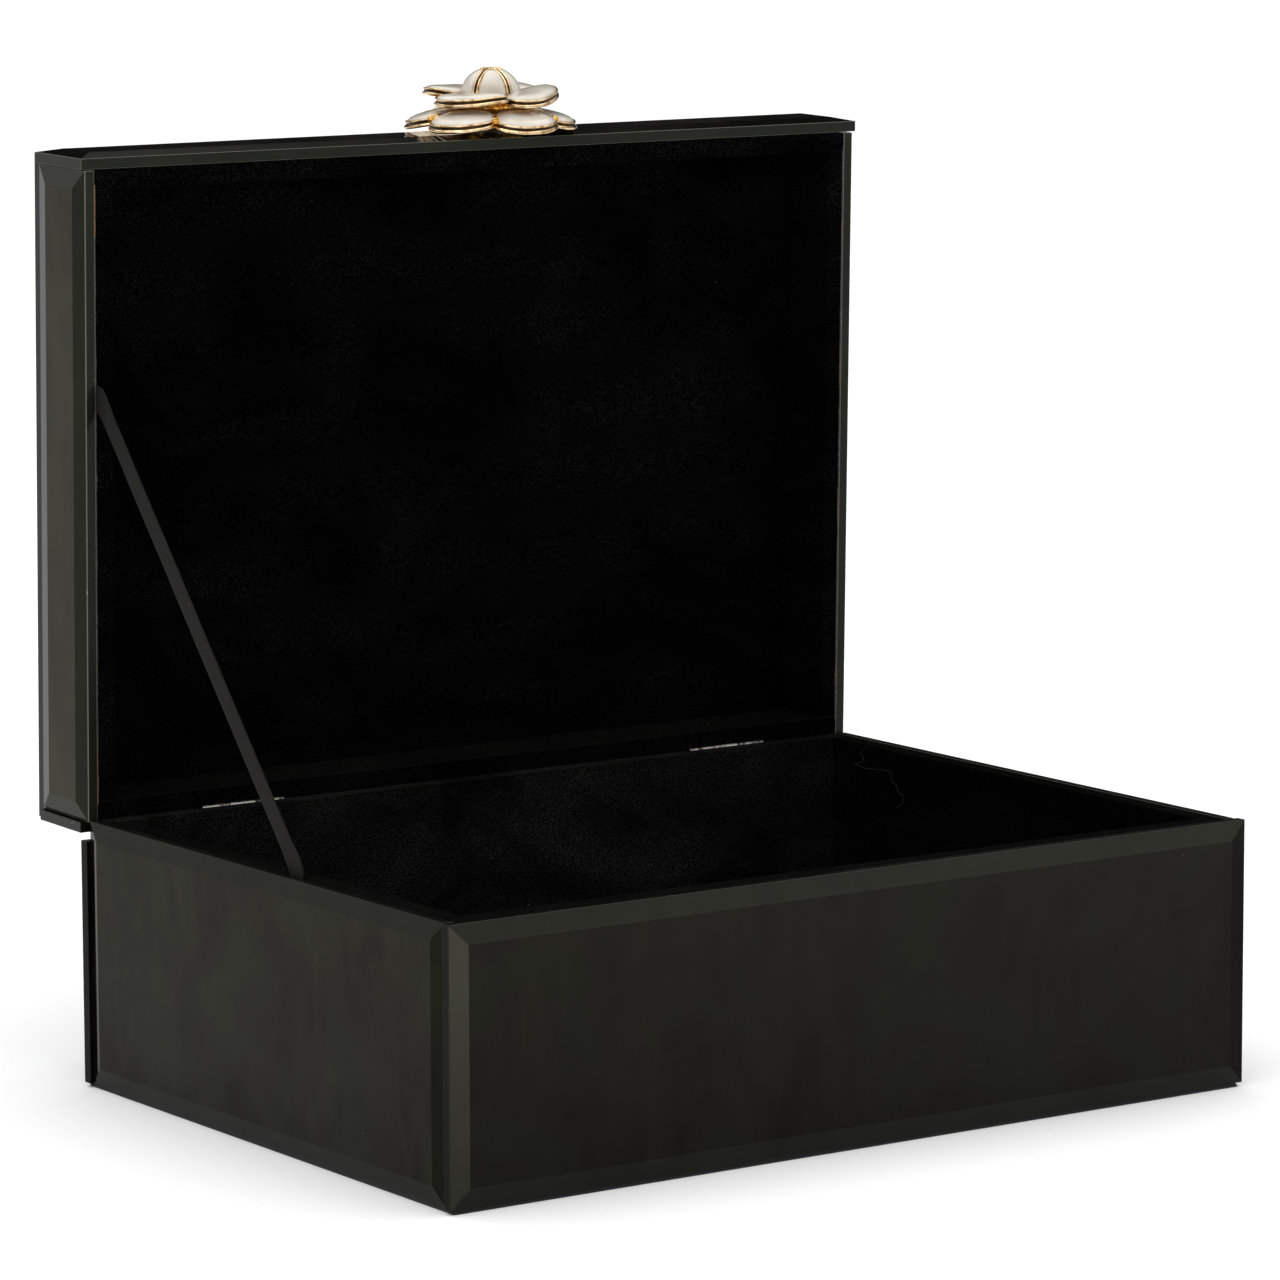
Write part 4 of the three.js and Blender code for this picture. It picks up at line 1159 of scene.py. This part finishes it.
def board_edges():
    """Raw board edges along the lid's two side rims; the left one is clean brown near the front."""
    down = Vector((0, math.sin(LID_OPEN), math.cos(LID_OPEN)))
    for side, sign in (("left", -1), ("right", 1)):
        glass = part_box(f"lid_{side}_glass")
        face = glass[1].x if sign < 0 else glass[0].x
        x = face - sign * 0.02 * MM
        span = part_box(f"lid_{side}_board")
        start = Vector((x, rim_plane_y(span[0].z), span[0].z))
        stop = Vector((x, rim_plane_y(span[1].z), span[1].z))
        line = (start, stop, Vector((-sign, 0, 0)), down)
        clean = CLEAN_SHARE if side == "left" else 1.0
        board_edge("lid", f"lid_{side}_board_edge", line, 3.0 + sign, clean)


def rim_plane_y(z):
    """Where the open lid's rim plane is at a given height."""
    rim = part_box("lid_left_lining")
    lean = math.tan(math.radians(90) - LID_OPEN)
    return rim[0].y + (rim[1].z - z) * lean


# ---- Stage, lights and camera

FLOOR_REACH = 30.0


def floor():
    """A wide pale paper floor under the box."""
    mesh = bpy.data.meshes.new("floor")
    corners = [(x * FLOOR_REACH, y * FLOOR_REACH, 0) for x, y in ((-1, -1), (1, -1), (1, 1), (-1, 1))]
    mesh.from_pydata(corners, [], [(0, 1, 2, 3)])
    plane = add_object("floor", mesh)
    material, tree, shader, vector = new_material("pale_floor")
    paper = noise_value(tree, vector, 300, 4)
    feed(shader, "Base Color", ramp(tree, paper, [(0.3, 0.93), (0.7, 0.95)]))
    set_inputs(shader, {"Roughness": 0.9, "Specular IOR Level": 0.1})
    mesh.materials.append(material)


def area_light(name, place, aim, size, power):
    """A soft white rectangular light."""
    data = bpy.data.lights.new(name, "AREA")
    data.shape = "RECTANGLE"
    data.size, data.size_y = size
    data.energy = power
    light = add_object(name, data)
    light.location = place
    light.rotation_euler = (Vector(aim) - Vector(place)).to_track_quat("-Z", "Y").to_euler()


def soft_step(tree, value, low, high):
    """0 below low, 1 above high, and even between them."""
    node = tree.nodes.new("ShaderNodeMapRange")
    set_inputs(node, {"From Min": low, "From Max": high})
    feed(node, "Value", value)
    return node.outputs["Result"]


def world_light():
    """A studio: a pale band at the floor's far edge, a dark room behind the box, soft light above."""
    world = bpy.data.worlds.new("studio")
    world.use_nodes = True
    tree = world.node_tree
    background = tree.nodes["Background"]
    source = tree.nodes.new("ShaderNodeTexCoord")
    parts = tree.nodes.new("ShaderNodeSeparateXYZ")
    feed(parts, "Vector", source.outputs["Generated"])
    height = parts.outputs["Z"]
    pale = [(0.0, 0.62), (0.05, 1.15), (0.14, 1.15), (0.3, 0.38), (0.55, 0.38), (0.7, 1.45)]
    room = ramp(tree, height, pale)
    dark = ramp(tree, height, [(0.045, 0.7), (0.075, 0.006), (0.42, 0.006), (0.7, 1.45)])
    behind = soft_step(tree, parts.outputs["Y"], 0.1, 0.35)
    rightwards = soft_step(tree, parts.outputs["X"], -0.25, 0.1)
    corner = blend_colours(tree, 1.0, behind, rightwards, "MULTIPLY")
    feed(background, "Color", blend_colours(tree, corner, room, dark))
    background.inputs["Strength"].default_value = 1.15
    bpy.context.scene.world = world


def camera():
    """The main camera, a long lens aimed at the middle of the open box."""
    data = bpy.data.cameras.new("camera")
    data.lens = CAMERA_LENS_MM
    data.sensor_width = 36
    data.clip_start, data.clip_end = 0.05, 100
    eye = add_object("camera", data)
    level = math.cos(CAMERA_ELEVATION)
    back = Vector((
        math.sin(CAMERA_AZIMUTH) * level, -math.cos(CAMERA_AZIMUTH) * level, math.sin(CAMERA_ELEVATION),
    ))
    eye.location = CAMERA_TARGET + back * CAMERA_DISTANCE
    turn = (-back).to_track_quat("-Z", "Y").to_matrix().to_4x4()
    roll = Matrix.Rotation(CAMERA_ROLL, 4, "Z")
    eye.rotation_euler = (turn @ roll).to_euler()
    bpy.context.scene.camera = eye


# ---- Build

def dress_nodes():
    """Finer glass and velvet, and materials for the nodes that are kept as they are."""
    for node in sorted(NODES):
        if node.endswith("_glass"):
            glass_panel(node)
        elif node.endswith("_lining") or node == "base_floor_pad":
            velvet_sheet(node)
        elif node.endswith("_board"):
            paint_node(node, BOARD)
        elif node == "base_felt":
            paint_node(node, FELT)
        elif node.startswith("hinge_"):
            paint_node(node, STEEL if "_screw_" in node else NICKEL)
        elif node in ("knob_stud", "knob_washer", "knob_nut"):
            paint_node(node, STEEL)


dress_nodes()
ribbon_stay()
flower_knob()
lint_thread()
board_edges()
for hinge_side in ("left", "right"):
    hinge_flap(hinge_side, "base")
    hinge_flap(hinge_side, "lid")
floor()
world_light()
area_light("overhead_soft", (-0.4, -0.2, 2.2), (0, 0, 0.1), (1.8, 1.8), 6)
area_light("left_soft", (-1.9, -0.9, 1.1), (0, 0, 0.12), (1.2, 1.4), 4)
camera()
bpy.context.scene.view_settings.view_transform = "Standard"
